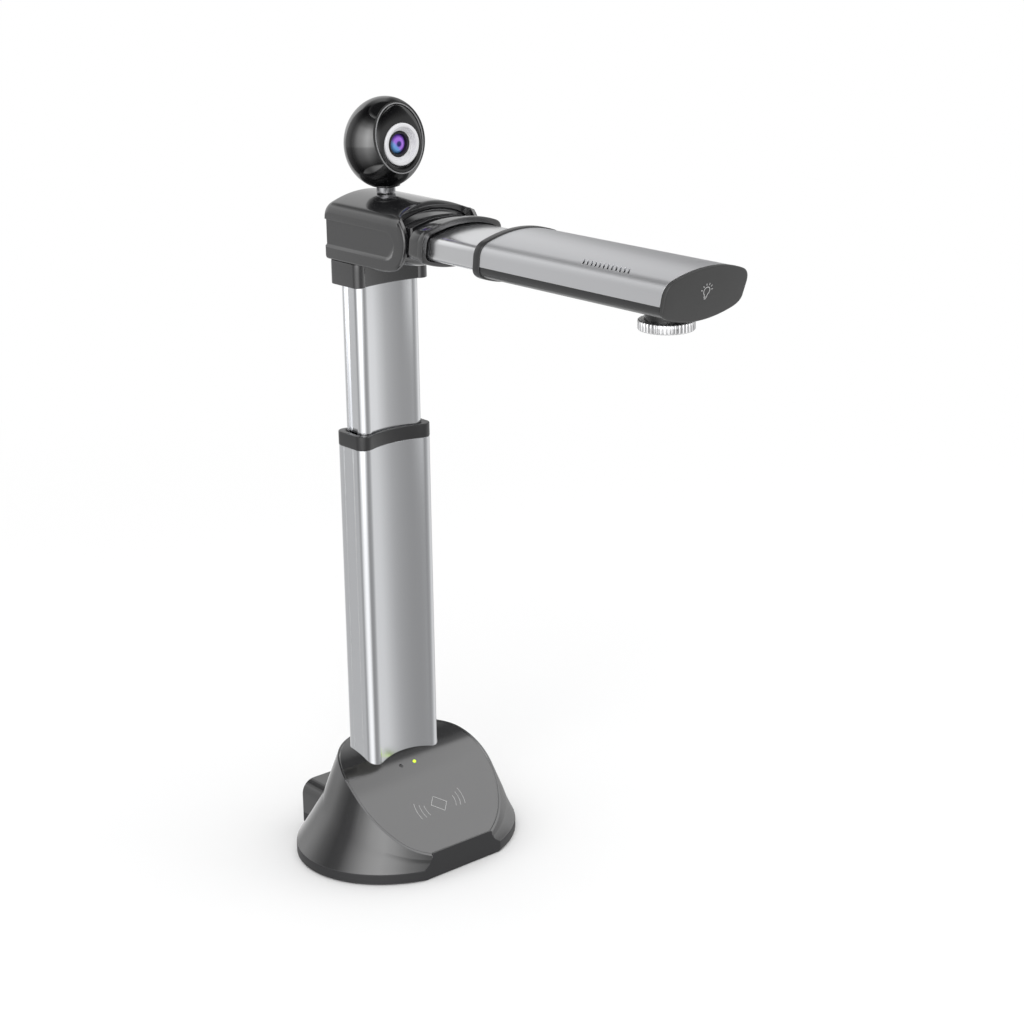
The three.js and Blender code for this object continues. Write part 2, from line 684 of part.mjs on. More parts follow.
function buildArm(place) {
  const drum = barrelBar(DRUM.half, DRUM.r, 0);
  const neckForm = common(armBar(1.4, -30, -66), block(-DRUM.half, DRUM.half, -80, -46, 370, 420));
  const roof = new THREE.Shape();
  roof.moveTo(-46, 398);
  roof.lineTo(-53, 401.6);
  roof.lineTo(-57.5, 420);
  roof.lineTo(-20, 420);
  roof.lineTo(-20, 398);
  roof.closePath();
  const neck = cut(neckForm, runAcross(roof, -40, 40));
  const cheek = cut(armBar(1.4, SOCKET.back, -80), aheadOf(SOCKET.front - 1, SOCKET.slope));
  const flange = common(
    armBar(0.2, -60, -90),
    cut(aheadOf(SOCKET.front, SOCKET.slope), aheadOf(SOCKET.flange, SOCKET.slope)),
  );
  const bore = innerArmBar(0.15, INNER_ARM.back + GAP, -90);
  const cableWay = block(-8, 8, -70, -58, 384, 396);
  const pinBore = crossBar(PIN_R + 0.05, -40, 40);
  piece('arm_socket', cut(join(drum, neck, cheek, flange), bore, pinBore, cableWay), LOOK.head, place);

  const { back, front } = INNER_ARM;
  const tube = cut(innerArmBar(0, back, front), innerArmBar(-INNER_WALL, back + 5, front - 5));
  piece('inner_arm', tube, LOOK.polished, place);
  const shoe = armBar(SKIN + 0.5, front - 0.1, front - 6);
  const plug = innerArmBar(-INNER_WALL - 0.15, front + 8, front - 3);
  const wireWay = block(-14, 14, front - 20, front + 20, 383, 397);
  piece('arm_slider', cut(join(shoe, plug), wireWay), LOOK.nylon, place);
}

function ventSlots() {
  const slots = [];
  for (let i = 0; i < VENT.count; i += 1) {
    const slot = new THREE.BoxGeometry(VENT.long, VENT.wide, 12);
    slot.rotateZ(THREE.MathUtils.degToRad(35));
    slots.push(solid(slot.translate(VENT.x, VENT.first - i * VENT.pitch, 398)));
  }
  return slots;
}

function buildSleeve(place) {
  const { rear, shell, front, cap, rearSlope, frontSlope } = SLEEVE;
  const between = (y0, slope0, y1, slope1) => cut(aheadOf(y0, slope0), aheadOf(y1, slope1));
  const bounds = between(shell, rearSlope, front, frontSlope);
  const skin = common(cut(armBar(0, -100, -290), armBar(SKIN, -90, -300)), bounds);
  const upper = block(-40, 40, -300, -90, SEAM_Z, 420);
  const lower = block(-40, 40, -300, -90, 360, SEAM_Z - 0.15);
  piece('sleeve_top_shell', cut(common(skin, upper), ...ventSlots()), LOOK.aluminium, place);

  const lensHole = bar(LENS.barrel + 0.3, 0, LENS.y, 360, 380);
  const windowHole = block(
    -LAMP.half - GAP, LAMP.half + GAP, LAMP.front - GAP, LAMP.back + GAP, 360, 380,
  );
  const tray = common(armBar(0.35, -100, -290), bounds, lower);
  const trayShell = cut(tray, armBar(SKIN, -90, -300));
  piece('sleeve_bottom_shell', cut(trayShell, lensHole, windowHole), LOOK.dark, place);

  const rim = common(armBar(-0.6, -90, -290), between(rear, rearSlope, shell + 0.1, rearSlope));
  piece('sleeve_rear_rim', cut(rim, innerArmBar(0.5, -90, -300)), LOOK.dark, place);

  const cover = common(armBar(-0.1, -200, -300), between(front - 0.15, frontSlope, cap, frontSlope));
  const plug = common(
    cut(armBar(SKIN + 0.2, -200, -300), armBar(SKIN + 2.2, -200, -300)),
    between(front + 5, frontSlope, front - 1, frontSlope),
  );
  piece('end_cap', join(cover, plug), LOOK.dark, place);
}

function buildCamera(place) {
  const { y, ringLow, barrel } = LENS;
  piece('camera_board', block(-17, 17, y - 15, y + 15, 386, 386 + BOARD_T), LOOK.board, place);
  const tube = cut(
    join(bar(barrel, 0, y, ringLow + 0.6, 382), bar(14, 0, y, 380, 385.8)),
    bar(8.6, 0, y, ringLow - 6.2, ringLow + 3.3, 7),
    bar(7, 0, y, ringLow + 2.8, ringLow + 6.8),
  );
  piece('lens_barrel', tube, LOOK.dark, place);
  const dome = solid(new THREE.SphereGeometry(9, 20, 12).translate(0, y, ringLow + 13));
  const glass = common(dome, bar(6.8, 0, y, ringLow, ringLow + 6.4));
  piece('lens_glass', glass, LOOK.glass, place);

  const { half, front, back } = LAMP;
  piece('led_board', block(-half - 1, half + 1, front - 1, back + 0.5, 381.5, 383), LOOK.board, place);
  piece('led_window', block(-half, half, front, back, LAMP.low, LAMP.low + 1.4), LOOK.clear, place);
  piece('touch_key_board', block(-13, 13, -260, -258.4, 384, 397), LOOK.board, place);
}

// The edge of one knurl tooth, as its share of the pitch and its radius.
const TOOTH = [[0, 0], [0.5, 0], [0.62, 0.5], [0.88, 0.5]];

function buildFocusRing(place) {
  const teeth = 36;
  const points = [];
  for (let i = 0; i < teeth; i += 1) {
    for (const [part, depth] of TOOTH) {
      const angle = ((i + part) / teeth) * Math.PI * 2;
      const r = LENS.ring - depth;
      points.push(new THREE.Vector2(r * Math.cos(angle), LENS.y + r * Math.sin(angle)));
    }
  }
  const ring = raise(new THREE.Shape(points), LENS.ringLow, LENS.ringHigh);
  const bore = bar(LENS.barrel + 0.1, 0, LENS.y, 360, 380);
  piece('focus_ring', cut(ring, bore), LOOK.chrome, place);
}

// ---------------------------------------------------------------- webcam
function ball(shrink, around = 36, rings = 22) {
  const sphere = new THREE.SphereGeometry(1, around, rings).rotateX(Math.PI / 2);
  sphere.scale(BALL.rx - shrink, BALL.rx - shrink, BALL.rz - shrink);
  sphere.rotateX(THREE.MathUtils.degToRad(BALL.lean));
  return solid(sphere.translate(0, BALL.y, BALL.z));
}

function buildNeck(place) {
  const joint = new THREE.SphereGeometry(NECK.ball, 20, 12).translate(0, NECK.y, NECK.ballZ);
  const neck = join(
    bar(3.9, 0, NECK.y, 399, NECK.foot + 0.5, 3.9, 28),
    bar(NECK.r, 0, NECK.y, NECK.foot + 0.1, NECK.top),
    bar(NECK.throat, 0, NECK.y, NECK.top - 1, NECK.ballZ, NECK.throat, 28),
    solid(joint),
  );
  piece('webcam_neck', neck, LOOK.gloss, place);
}

// Moves a shape from the face's own axes, with -Y out of the face, to its place on the ball.
function onFace(geometry) {
  const lean = THREE.MathUtils.degToRad(FACE_RIM.lean);
  return solid(geometry.rotateX(lean).translate(0, FACE_RIM.y, FACE_RIM.z));
}

function buildWebcam(place) {
  const { rx, rz, lip } = FACE_RIM;
  const front = onFace(new THREE.BoxGeometry(90, 40, 90).translate(0, -20 - lip, 0));
  const opening = onFace(
    new THREE.CylinderGeometry(1, 1, 24, 48).scale(rx + 0.1, 1, rz + 0.1).translate(0, -10.7, 0),
  );
  const under = block(-40, 40, -60, 40, 400, BALL.flat);
  const flange = bar(8.4, 0, NECK.y, BALL.flat - 0.2, 417);
  const boss = bar(8.4, 0, NECK.y, 412.5, 425.5);
  const room = new THREE.SphereGeometry(NECK.ball + 0.35, 20, 12).translate(0, NECK.y, NECK.ballZ);
  const recess = bar(7, 0, NECK.y, 405, BALL.flat + 1);
  const throat = bar(4.1, 0, NECK.y, 405, NECK.ballZ);
  const wireHole = bar(1.5, 0, NECK.y, 420, 430, 1.5, 16);
  const hollow = cut(ball(BALL.wall, 24, 14), boss);
  const skin = join(cut(ball(0), under), flange);
  const rear = cut(skin, front, opening, hollow, solid(room), recess, throat, wireHole);
  piece('webcam_rear_shell', rear, LOOK.gloss, place);

  const eyeHole = frontBar(EYE.ring, -40, -10, 0, EYE.z);
  const inside = facePanel(1.6).translate([0, 1.8, 0]);
  piece('webcam_front_shell', cut(facePanel(0), inside, eyeHole), LOOK.gloss, place);

  const outer = EYE.ring - 0.15;
  const trim = cut(
    join(
      frontBar(outer, EYE.edge, -20.5, 0, EYE.z),
      frontBar(outer, EYE.front, EYE.edge + 0.1, 0, EYE.z, outer - 0.5, 48),
    ),
    frontBar(EYE.barrel + 0.2, -40, -10, 0, EYE.z),
    frontBar(EYE.barrel + 0.3, EYE.front - 0.2, -22.4, 0, EYE.z, EYE.mouth, 48),
  );
  piece('webcam_trim_ring', trim, LOOK.white, place);
  const tube = cut(frontBar(EYE.barrel, -22.7, -14, 0, EYE.z), frontBar(5.6, -30, -20, 0, EYE.z));
  piece('webcam_lens_barrel', tube, LOOK.dark, place);
  const bead = solid(new THREE.SphereGeometry(7, 20, 12).translate(0, -15.6, EYE.z));
  piece('webcam_lens_glass', common(bead, frontBar(5.4, -30, -20.2, 0, EYE.z)), LOOK.glass, place);
  piece('webcam_board', block(-13, 13, -13.6, -12, 428, 452), LOOK.board, place);
}

// The front of the ball: a skin from the leaning oval rim in to the round, upright eye.
function facePanel(inset) {
  const lean = THREE.MathUtils.degToRad(FACE_RIM.lean);
  const across = new THREE.Vector3(1, 0, 0);
  const eye = EYE.ring - 0.4;
  const ring = (part, behind = 0) => {
    const points = [];
    const count = 40;
    for (let i = 0; i < count; i += 1) {
      const angle = (2 * Math.PI * i) / count;
      const [x, z] = [Math.cos(angle), Math.sin(angle)];
      const point = new THREE.Vector3((FACE_RIM.rx - inset) * x, behind, (FACE_RIM.rz - inset) * z);
      point.applyAxisAngle(across, lean).add(new THREE.Vector3(0, FACE_RIM.y, FACE_RIM.z));
      point.lerp(new THREE.Vector3(eye * x, EYE.edge + 0.4, EYE.z + eye * z), part);
      point.y -= FACE_RIM.bulge * Math.sin(Math.PI * part);
      points.push(point);
    }
    return points;
  };
  return loft([ring(0, 1.2), ring(0), ring(0.25), ring(0.5), ring(0.75), ring(1)]);
}

buildBase();
buildMat();
buildElectronics();
buildColumn();
buildInnerColumn(model);
buildHead(model);
buildArm(model);
buildSleeve(model);
buildCamera(model);
buildFocusRing(model);
buildNeck(model);
buildWebcam(model);

export default model;
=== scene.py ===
import json
import math

import bmesh
import bpy
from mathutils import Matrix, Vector


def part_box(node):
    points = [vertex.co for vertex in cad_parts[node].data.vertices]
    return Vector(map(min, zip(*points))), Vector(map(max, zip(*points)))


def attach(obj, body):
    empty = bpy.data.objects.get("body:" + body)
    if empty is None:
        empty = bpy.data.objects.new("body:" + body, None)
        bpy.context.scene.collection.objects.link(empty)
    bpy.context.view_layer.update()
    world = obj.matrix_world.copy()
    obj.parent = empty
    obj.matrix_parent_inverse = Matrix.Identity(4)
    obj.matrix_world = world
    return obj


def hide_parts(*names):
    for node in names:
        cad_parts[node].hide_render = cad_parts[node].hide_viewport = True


# A telescopic document camera with a ball webcam. The frame gives every place and size; the
# pieces here are the same shapes with fine surfaces, rounded edges and full materials. Shapes are
# worked out in millimetres and turned into metres when a mesh is made.
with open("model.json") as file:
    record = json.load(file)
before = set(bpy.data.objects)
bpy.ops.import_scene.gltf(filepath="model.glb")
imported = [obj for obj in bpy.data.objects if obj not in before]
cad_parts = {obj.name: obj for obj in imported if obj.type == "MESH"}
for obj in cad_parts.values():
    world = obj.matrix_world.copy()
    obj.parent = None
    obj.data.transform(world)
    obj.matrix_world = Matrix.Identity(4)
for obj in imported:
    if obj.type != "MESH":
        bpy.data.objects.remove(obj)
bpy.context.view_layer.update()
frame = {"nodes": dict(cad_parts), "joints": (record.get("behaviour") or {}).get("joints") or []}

MM = 0.001


def corners(node):
    """The lowest and highest corner of a CAD node, in millimetres."""
    low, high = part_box(node)
    return low / MM, high / MM


def joint_place(name):
    """The point that a hinge turns about, in millimetres."""
    found = next(j for j in frame["joints"] if j["name"] == name)
    return Vector(found["pos_m"]) / MM


# ---------------------------------------------------------------- sizes from the frame
LOWER_LOW, LOWER_HIGH = corners("lower_column")
INNER_LOW, INNER_HIGH = corners("inner_column")
COLLAR_HIGH = corners("column_collar")[1]
BRACKET_LOW, BRACKET_HIGH = corners("column_bracket")
HEAD_LOW, HEAD_HIGH = corners("head_housing")
SOCKET_HIGH = corners("arm_socket")[1]
ARM_LOW, ARM_HIGH = corners("inner_arm")
TOP_LOW, TOP_HIGH = corners("sleeve_top_shell")
TRAY_LOW = corners("sleeve_bottom_shell")[0]
FOCUS_LOW, FOCUS_HIGH = corners("focus_ring")
LAMP_LOW, LAMP_HIGH = corners("led_window")
BALL_HIGH = corners("webcam_rear_shell")[1]
TRIM_LOW, TRIM_HIGH = corners("webcam_trim_ring")
EYE_LOW = corners("webcam_lens_barrel")[0]
NECK_LOW, NECK_HIGH = corners("webcam_neck")
BASE_LOW, BASE_HIGH = corners("base_shell")
LED_LOW, LED_HIGH = corners("power_led")
MIC_LOW, MIC_HIGH = corners("microphone")
PANEL_LOW, PANEL_HIGH = corners("rear_port_panel")
HINGE = joint_place("arm_fold")
LENS = joint_place("focus_turn")
NECK = joint_place("webcam_swivel")

# ---------------------------------------------------------------- section shapes
# Turn is how many degrees a corner bead goes on past the front before the dish begins.
LOWER_SECTION = {"half": LOWER_HIGH.x, "deep": 13.1, "bead": 5.6, "dish": 4.2, "turn": 22.1}
INNER_SECTION = {"half": INNER_HIGH.x, "deep": 9.6, "bead": 4.9, "dish": 3.6, "turn": 22.6}
COLLAR_SECTION = {"half": COLLAR_HIGH.x, "deep": 13.25, "bead": 5.7, "dish": 4.2, "turn": 22.1}
BRACKET_SECTION = {"half": BRACKET_HIGH.x, "deep": 13.6, "bead": 4.2, "dish": 3.4, "turn": 50}
COLUMN_WALL = 1.2
DECOR_LINE = {"wide": 0.5, "deep": 0.35, "y": 4.5}
TRACK = {"half": 4.2, "deep": 1.4}

ARM_BOW = 0.0077                 # arch of the arm's top and keel, height over width squared
ARM_SIDE = (385.5, 392.5)        # where the arm's upright side begins and ends
ARM_KEEL = TRAY_LOW.z - 0.35
SKIN = 1.8                       # wall of the sleeve
INNER_INSET = 4.2
INNER_DROP = 1.0
INNER_WALL = 1.5
REAR_SLOPE = 0.2                 # how far the sleeve's rear end leans forward with height
FRONT_SLOPE = 0.3
SOCKET_SLOPE = 0.25
SEAM = TOP_LOW.z

HEAD_ARCH = 0.0085               # fall of the head's top, height over width squared
DRUM_TAPER = 0.0085              # the same for the drum's radius
DRUM_HALF = 24.4
PANEL_BAND = (378.4, 394.8)      # the heights between which the head's sides are pressed in
UNDER_HEAD, OVER_HEAD = 340, 430  # heights that cutters through the head reach

FACE_CURVE = (
    (34, 63.6), (16, 64.1), (-2, 61.9), (-14, 57.2), (-26.6, 49.9),
    (-38.7, 40.1), (-49.8, 30.2), (-58.5, 21.8), (-68, 13.6),
)
WALL = {"rx": 61.9, "ry": 49.7, "cy": -16, "at": 30, "rx_fall": 0.443, "ry_fall": 0.291}
SKIRT = {"rx": BASE_HIGH.x, "ry": 61.4, "cy": -11.1, "top": 6.9, "hollow": 0.4}
CREASE = {"back": 38, "bend": 0.003, "y": 25}
FRONT_WALL = BASE_LOW.y
LIP = {"half": 23.1, "low": 9.0, "top": 16.6, "deep": 1.5}
FACE_EDGE = 1.3
PLATE_DROP = 0.35                # how far the card face's plate lies below its edge
SENSOR_Y = -19.2                 # where the indicator light and the microphone are
PORT_BOX = {"half": 37, "back": BASE_HIGH.y, "front": 18, "top": 28.5, "round": 9}


# ---------------------------------------------------------------- outlines
def arc(x, y, r, start, end, steps):
    """Points on an arc, both ends included. Angles are in degrees."""
    angles = [math.radians(start + (end - start) * i / steps) for i in range(steps + 1)]
    return [(x + r * math.cos(a), y + r * math.sin(a)) for a in angles]


def whole_turn(steps):
    """Evenly spaced angles all the way round."""
    return [2 * math.pi * i / steps for i in range(steps)]


def circle(x, y, r, steps):
    return arc(x, y, r, 0, 360, steps)[:-1]


def bend(start, pull, end, steps):
    """Points on a quadratic curve, without its first point."""
    points = []
    for i in range(1, steps + 1):
        t = i / steps
        a, b, c = (1 - t) ** 2, 2 * t * (1 - t), t * t
        points.append(tuple(a * s + b * p + c * e for s, p, e in zip(start, pull, end)))
    return points


def line(start, end, steps):
    """Points on a straight line, without its first point."""
    return [
        tuple(s + (e - s) * i / steps for s, e in zip(start, end)) for i in range(1, steps + 1)
    ]


def tidy(points):
    """The outline without points that lie on the one before."""
    kept = []
    for p in points:
        if not kept or math.dist(p, kept[-1]) > 1e-4:
            kept.append(p)
    if math.dist(kept[0], kept[-1]) < 1e-4:
        kept.pop()
    return kept


def directions(path):
    """The unit direction along an open path at each of its points."""
    ends = zip([path[0], *path[:-1]], [*path[1:], path[-1]])
    return [Vector((after[0] - before[0], after[1] - before[1])).normalized() for before, after in ends]


def offset(points, grow):
    """An anticlockwise outline moved outwards by a distance, with mitred corners."""
    moved = []
    for i, (x, y) in enumerate(points):
        before = points[i - 1]
        after = points[(i + 1) % len(points)]
        a = Vector((x - before[0], y - before[1])).normalized()
        b = Vector((after[0] - x, after[1] - y)).normalized()
        normal_a = Vector((a.y, -a.x))
        normal_b = Vector((b.y, -b.x))
        push = (normal_a + normal_b) / max(1 + normal_a.dot(normal_b), 0.3) * grow
        moved.append((x + push.x, y + push.y))
    return moved


def catmull(points, steps):
    """A smooth curve through the points."""
    padded = [points[0], *points, points[-1]]
    curve = [points[0]]
    for p0, p1, p2, p3 in zip(padded, padded[1:], padded[2:], padded[3:]):
        for i in range(1, steps + 1):
            t = i / steps
            curve.append(tuple(
                0.5 * (2 * b + (c - a) * t + (2 * a - 5 * b + 4 * c - d) * t ** 2
                       + (3 * b - a - 3 * c + d) * t ** 3)
                for a, b, c, d in zip(p0, p1, p2, p3)
            ))
    return curve


FACE_LINE = catmull(FACE_CURVE, 8)


def column_outline(section, notch=None):
    """The column's section: a bead at each corner and a dished front and back. A notch is
    (centre, half width, depth) of the grooves down each side."""
    half, deep, bead, dish = (section[k] for k in ("half", "deep", "bead", "dish"))
    x = half - bead
    y = deep - bead
    turn = math.radians(section["turn"])
    edge_x = x - bead * math.sin(turn)
    edge_y = y + bead * math.cos(turn)
    sag = edge_y - (deep - dish)
    reach = (edge_x ** 2 + sag ** 2) / (2 * sag)
    sweep = math.degrees(math.asin(edge_x / reach))
    middle = deep - dish + reach
    side = []
    for centre, wide, depth in notch or ():
        side += [(half, centre - wide), (half - depth, centre - wide + 0.1),
                 (half - depth, centre + wide - 0.1), (half, centre + wide)]
    past = section["turn"]
    right = arc(x, -y, bead, -90 - past, 0, 20) + side + arc(x, y, bead, 0, 90 + past, 20)
    dish_back = arc(0, middle, reach, -90 + sweep, -90 - sweep, 36)
    left = [(-px, -py) for px, py in right]
    dish_front = [(-px, -py) for px, py in dish_back]
    return tidy(right + dish_back + left + dish_front)


def arm_outline(inset, drop=0.0):
    """The arm's lens-shaped section as (x, z) points, anticlockwise seen from the front."""
    half = TOP_HIGH.x - inset
    crest = TOP_HIGH.z - inset
    keel = ARM_KEEL + inset - drop
    shoulder = half - max(5.2 - inset * 0.5, 2)
    corner = half - max(6 - inset * 0.5, 2)
    top = crest - ARM_BOW * shoulder ** 2
    low = keel + ARM_BOW * corner ** 2
    top_pull = top - 2 * ARM_BOW * shoulder * (half - shoulder)
    low_pull = low + 2 * ARM_BOW * corner * (half - corner)
    side_low = max(ARM_SIDE[0], low + 4)
    points = [(half - 0.5, side_low)]
    points += line(points[-1], (half, ARM_SIDE[1]), 4)
    points += bend(points[-1], (half, top_pull), (shoulder, top), 14)
    points += bend(points[-1], (0, crest + ARM_BOW * shoulder ** 2), (-shoulder, top), 40)
    points += bend(points[-1], (-half, top_pull), (-half, ARM_SIDE[1]), 14)
    points += line(points[-1], (0.5 - half, side_low), 4)
    points += bend(points[-1], (0.7 - half, low_pull), (-corner, low), 14)
    points += bend(points[-1], (0, keel - ARM_BOW * corner ** 2), (corner, low), 40)
    points += bend(points[-1], (half - 0.7, low_pull), (half - 0.5, side_low), 14)
    return tidy(points)


# ---------------------------------------------------------------- meshes
def loft(rings, hollow=False):
    """A skin over rings with the same number of points. A hollow one joins its last ring to its
    first, like a tube with a wall; the other kind is capped at both ends."""
    count = len(rings[0])
    points = [p for ring in rings for p in ring]
    faces = []
    for level in range(len(rings) if hollow else len(rings) - 1):
        a = level * count
        b = (level + 1) % len(rings) * count
        for i in range(count):
            j = (i + 1) % count
            faces.append((a + i, a + j, b + j, b + i))
    if not hollow:
        faces.append(tuple(reversed(range(count))))
        faces.append(tuple(range(len(points) - count, len(points))))
    return points, faces


def lathe(profile, steps=96):
    """A closed profile of (radius, height) points turned about the vertical axis."""
    rings = [[(r * math.cos(a), r * math.sin(a), z) for r, z in profile] for a in whole_turn(steps)]
    return loft(rings, hollow=True)


def moved(shape, place):
    """The shape with every point passed through a function."""
    points, faces = shape
    return [place(*p) for p in points], faces


def edge_profile(start, end, radius, steps=5):
    """(inset, height) pairs of an outline's run from start to end with rounded end edges."""
    way = 1 if end > start else -1
    up = []
    down = []
    for i in range(steps + 1):
        a = math.radians(90 * i / steps)
        up.append((radius * (1 - math.sin(a)), start + way * radius * (1 - math.cos(a))))
        down.append((radius * (1 - math.cos(a)), end - way * radius * (1 - math.sin(a))))
    return up + down


def place_mesh(name, mesh):
    thing = bpy.data.objects.new(name, mesh)
    bpy.context.scene.collection.objects.link(thing)
    return thing


def solid(shape, name="work"):
    """An object made of a shape."""
    points, faces = shape
    mesh = bpy.data.meshes.new(name)
    mesh.from_pydata([tuple(c * MM for c in p) for p in points], [], faces)
    work = bmesh.new()
    work.from_mesh(mesh)
    bmesh.ops.remove_doubles(work, verts=work.verts, dist=1e-7)
    bmesh.ops.recalc_face_normals(work, faces=work.faces)
    work.to_mesh(mesh)
    work.free()
    return place_mesh(name, mesh)


def combine(thing, operation, others):
    """Joins or cuts a solid with other ones, which are used up."""
    for other in others:
        step = thing.modifiers.new("step", "BOOLEAN")
        step.operation = operation
        step.solver = "EXACT"
        step.object = other
        bpy.context.view_layer.update()
        graph = bpy.context.evaluated_depsgraph_get()
        result = bpy.data.meshes.new_from_object(thing.evaluated_get(graph))
        thing.modifiers.clear()
        used, spent = thing.data, other.data
        thing.data = result
        bpy.data.objects.remove(other)
        for mesh in (used, spent):
            bpy.data.meshes.remove(mesh)
    return thing


def cut(thing, *others):
    return combine(thing, "DIFFERENCE", others)


def join(thing, *others):
    return combine(thing, "UNION", others)


def common(thing, *others):
    return combine(thing, "INTERSECT", others)


def dress(thing, look):
    """Gives a piece one of the looks, or a material of its own."""
    thing.data.materials.clear()
    thing.data.materials.append(LOOK[look] if isinstance(look, str) else look)


def finish_piece(thing, name, body, slot, look, *nodes, smooth=30):
    """Names a solid, sets its material and shading, and hangs it on its body."""
    thing.name = name
    thing.data.name = name
    dress(thing, look)
    thing.data.shade_smooth()
    thing.data.set_sharp_from_angle(angle=math.radians(smooth))
    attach(thing, body)
    if nodes:
        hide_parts(*nodes)


def fine(thing, node, body, slot, look, smooth=30):
    """Makes a solid the fine version of a CAD node."""
    finish_piece(thing, f"fine_{node}", body, slot, look, node, smooth=smooth)


def block(x0, x1, y0, y1, z0, z1):
    """A box between two corners, as a cutter."""
    rings = [[(x0, y0, z), (x1, y0, z), (x1, y1, z), (x0, y1, z)] for z in (z0, z1)]
    return solid(loft(rings))


def upright(outline, levels):
    """Rings of a plan outline at (inset, z) levels."""
    return [[(x, y, z) for x, y in offset(outline, -inset)] for inset, z in levels]


def risen(outline, levels):
    """A solid of a plan outline at (inset, z) levels."""
    return solid(loft(upright(outline, levels)))


def prism(outline, low, high, grow=0.0):
    """A plan outline, grown by a distance, drawn up from one height to another."""
    return risen(outline, [(-grow, low), (-grow, high)])


def leaning(outline, levels, slope):
    """Rings of a front outline at (inset, y) levels, whose plane leans forward by a slope."""
    rings = []
    for inset, y in levels:
        ring = offset(outline, -inset)
        rings.append([(x, y - slope * (z - HINGE.z), z) for x, z in ring])
    return rings


def slanted(outline, levels, slope=0.0):
    """A solid of a front outline at (inset, y) levels, leaning forward by a slope."""
    return solid(loft(leaning(outline, levels, slope)))


def across(outline, levels):
    """A solid of a side outline, (y, z), at (inset, x) levels."""
    return solid(loft([[(x, y, z) for y, z in offset(outline, -inset)] for inset, x in levels]))


def turned(profile, place, steps=96):
    """A solid turned from a profile, with every point passed through a function."""
    return solid(moved(lathe(profile, steps), place))


# ---------------------------------------------------------------- materials
class Nodes:
    """A node tree being put together: short names for the nodes that the finishes share."""

    def __init__(self, tree):
        self.tree = tree

    def new(self, kind, **settings):
        node = self.tree.nodes.new("ShaderNode" + kind)
        for key, value in settings.items():
            setattr(node, key, value)
        return node

    def feed(self, socket, source):
        """Sets an input to a number or a colour, or links it to an output."""
        if isinstance(source, bpy.types.NodeSocket):
            self.tree.links.new(source, socket)
        elif socket.type == "RGBA":
            socket.default_value = (*source, 1)
        else:
            socket.default_value = source

    def made(self, kind, sources, **settings):
        """A new node with its inputs fed in order, or by name where sources is a dictionary."""
        node = self.new(kind, **settings)
        pairs = sources.items() if isinstance(sources, dict) else enumerate(sources)
        for key, source in pairs:
            self.feed(node.inputs[key], source)
        return node

    def math(self, operation, *values):
        return self.made("Math", values, operation=operation).outputs[0]

    def vector(self, operation, *values):
        node = self.made("VectorMath", values, operation=operation)
        return node.outputs["Value" if operation in ("LENGTH", "DOT_PRODUCT") else "Vector"]

    def split(self, source):
        """A vector's X, Y and Z."""
        return self.made("SeparateXYZ", [source]).outputs

    def mapped(self, source, start, end, low=0.0, high=1.0, kind="SMOOTHSTEP"):
        """A value's run from start to end, mapped onto a run from low to high."""
        limits = {"Value": source, "From Min": start, "From Max": end, "To Min": low, "To Max": high}
        return self.made("MapRange", limits, interpolation_type=kind).outputs["Result"]

    def spread(self, source, low, high):
        """A noise's middle range mapped onto a range."""
        return self.mapped(source, 0.3, 0.7, low, high, kind="LINEAR")

    def blend(self, amount, first, second, kind="MIX"):
        """A colour between two colours or sockets."""
        sources = {"Factor": amount, 6: first, 7: second}
        return self.made("Mix", sources, data_type="RGBA", blend_type=kind).outputs[2]

    def ramp(self, amount, stops, start, end):
        """The colour, or grey level, of a value by a list of (place, colour) from start to end."""
        node = self.made("ValToRGB", [amount])
        elements = node.color_ramp.elements
        elements[0].position, elements[1].position = 0.0, 1.0
        for place, colour in stops:
            position = (place - start) / (end - start)
            if position in (0.0, 1.0):
                element = elements[0 if position == 0.0 else len(elements) - 1]
            else:
                element = elements.new(position)
            element.color = (*(colour if isinstance(colour, tuple) else (colour,) * 3), 1)
        return node.outputs["Color"]


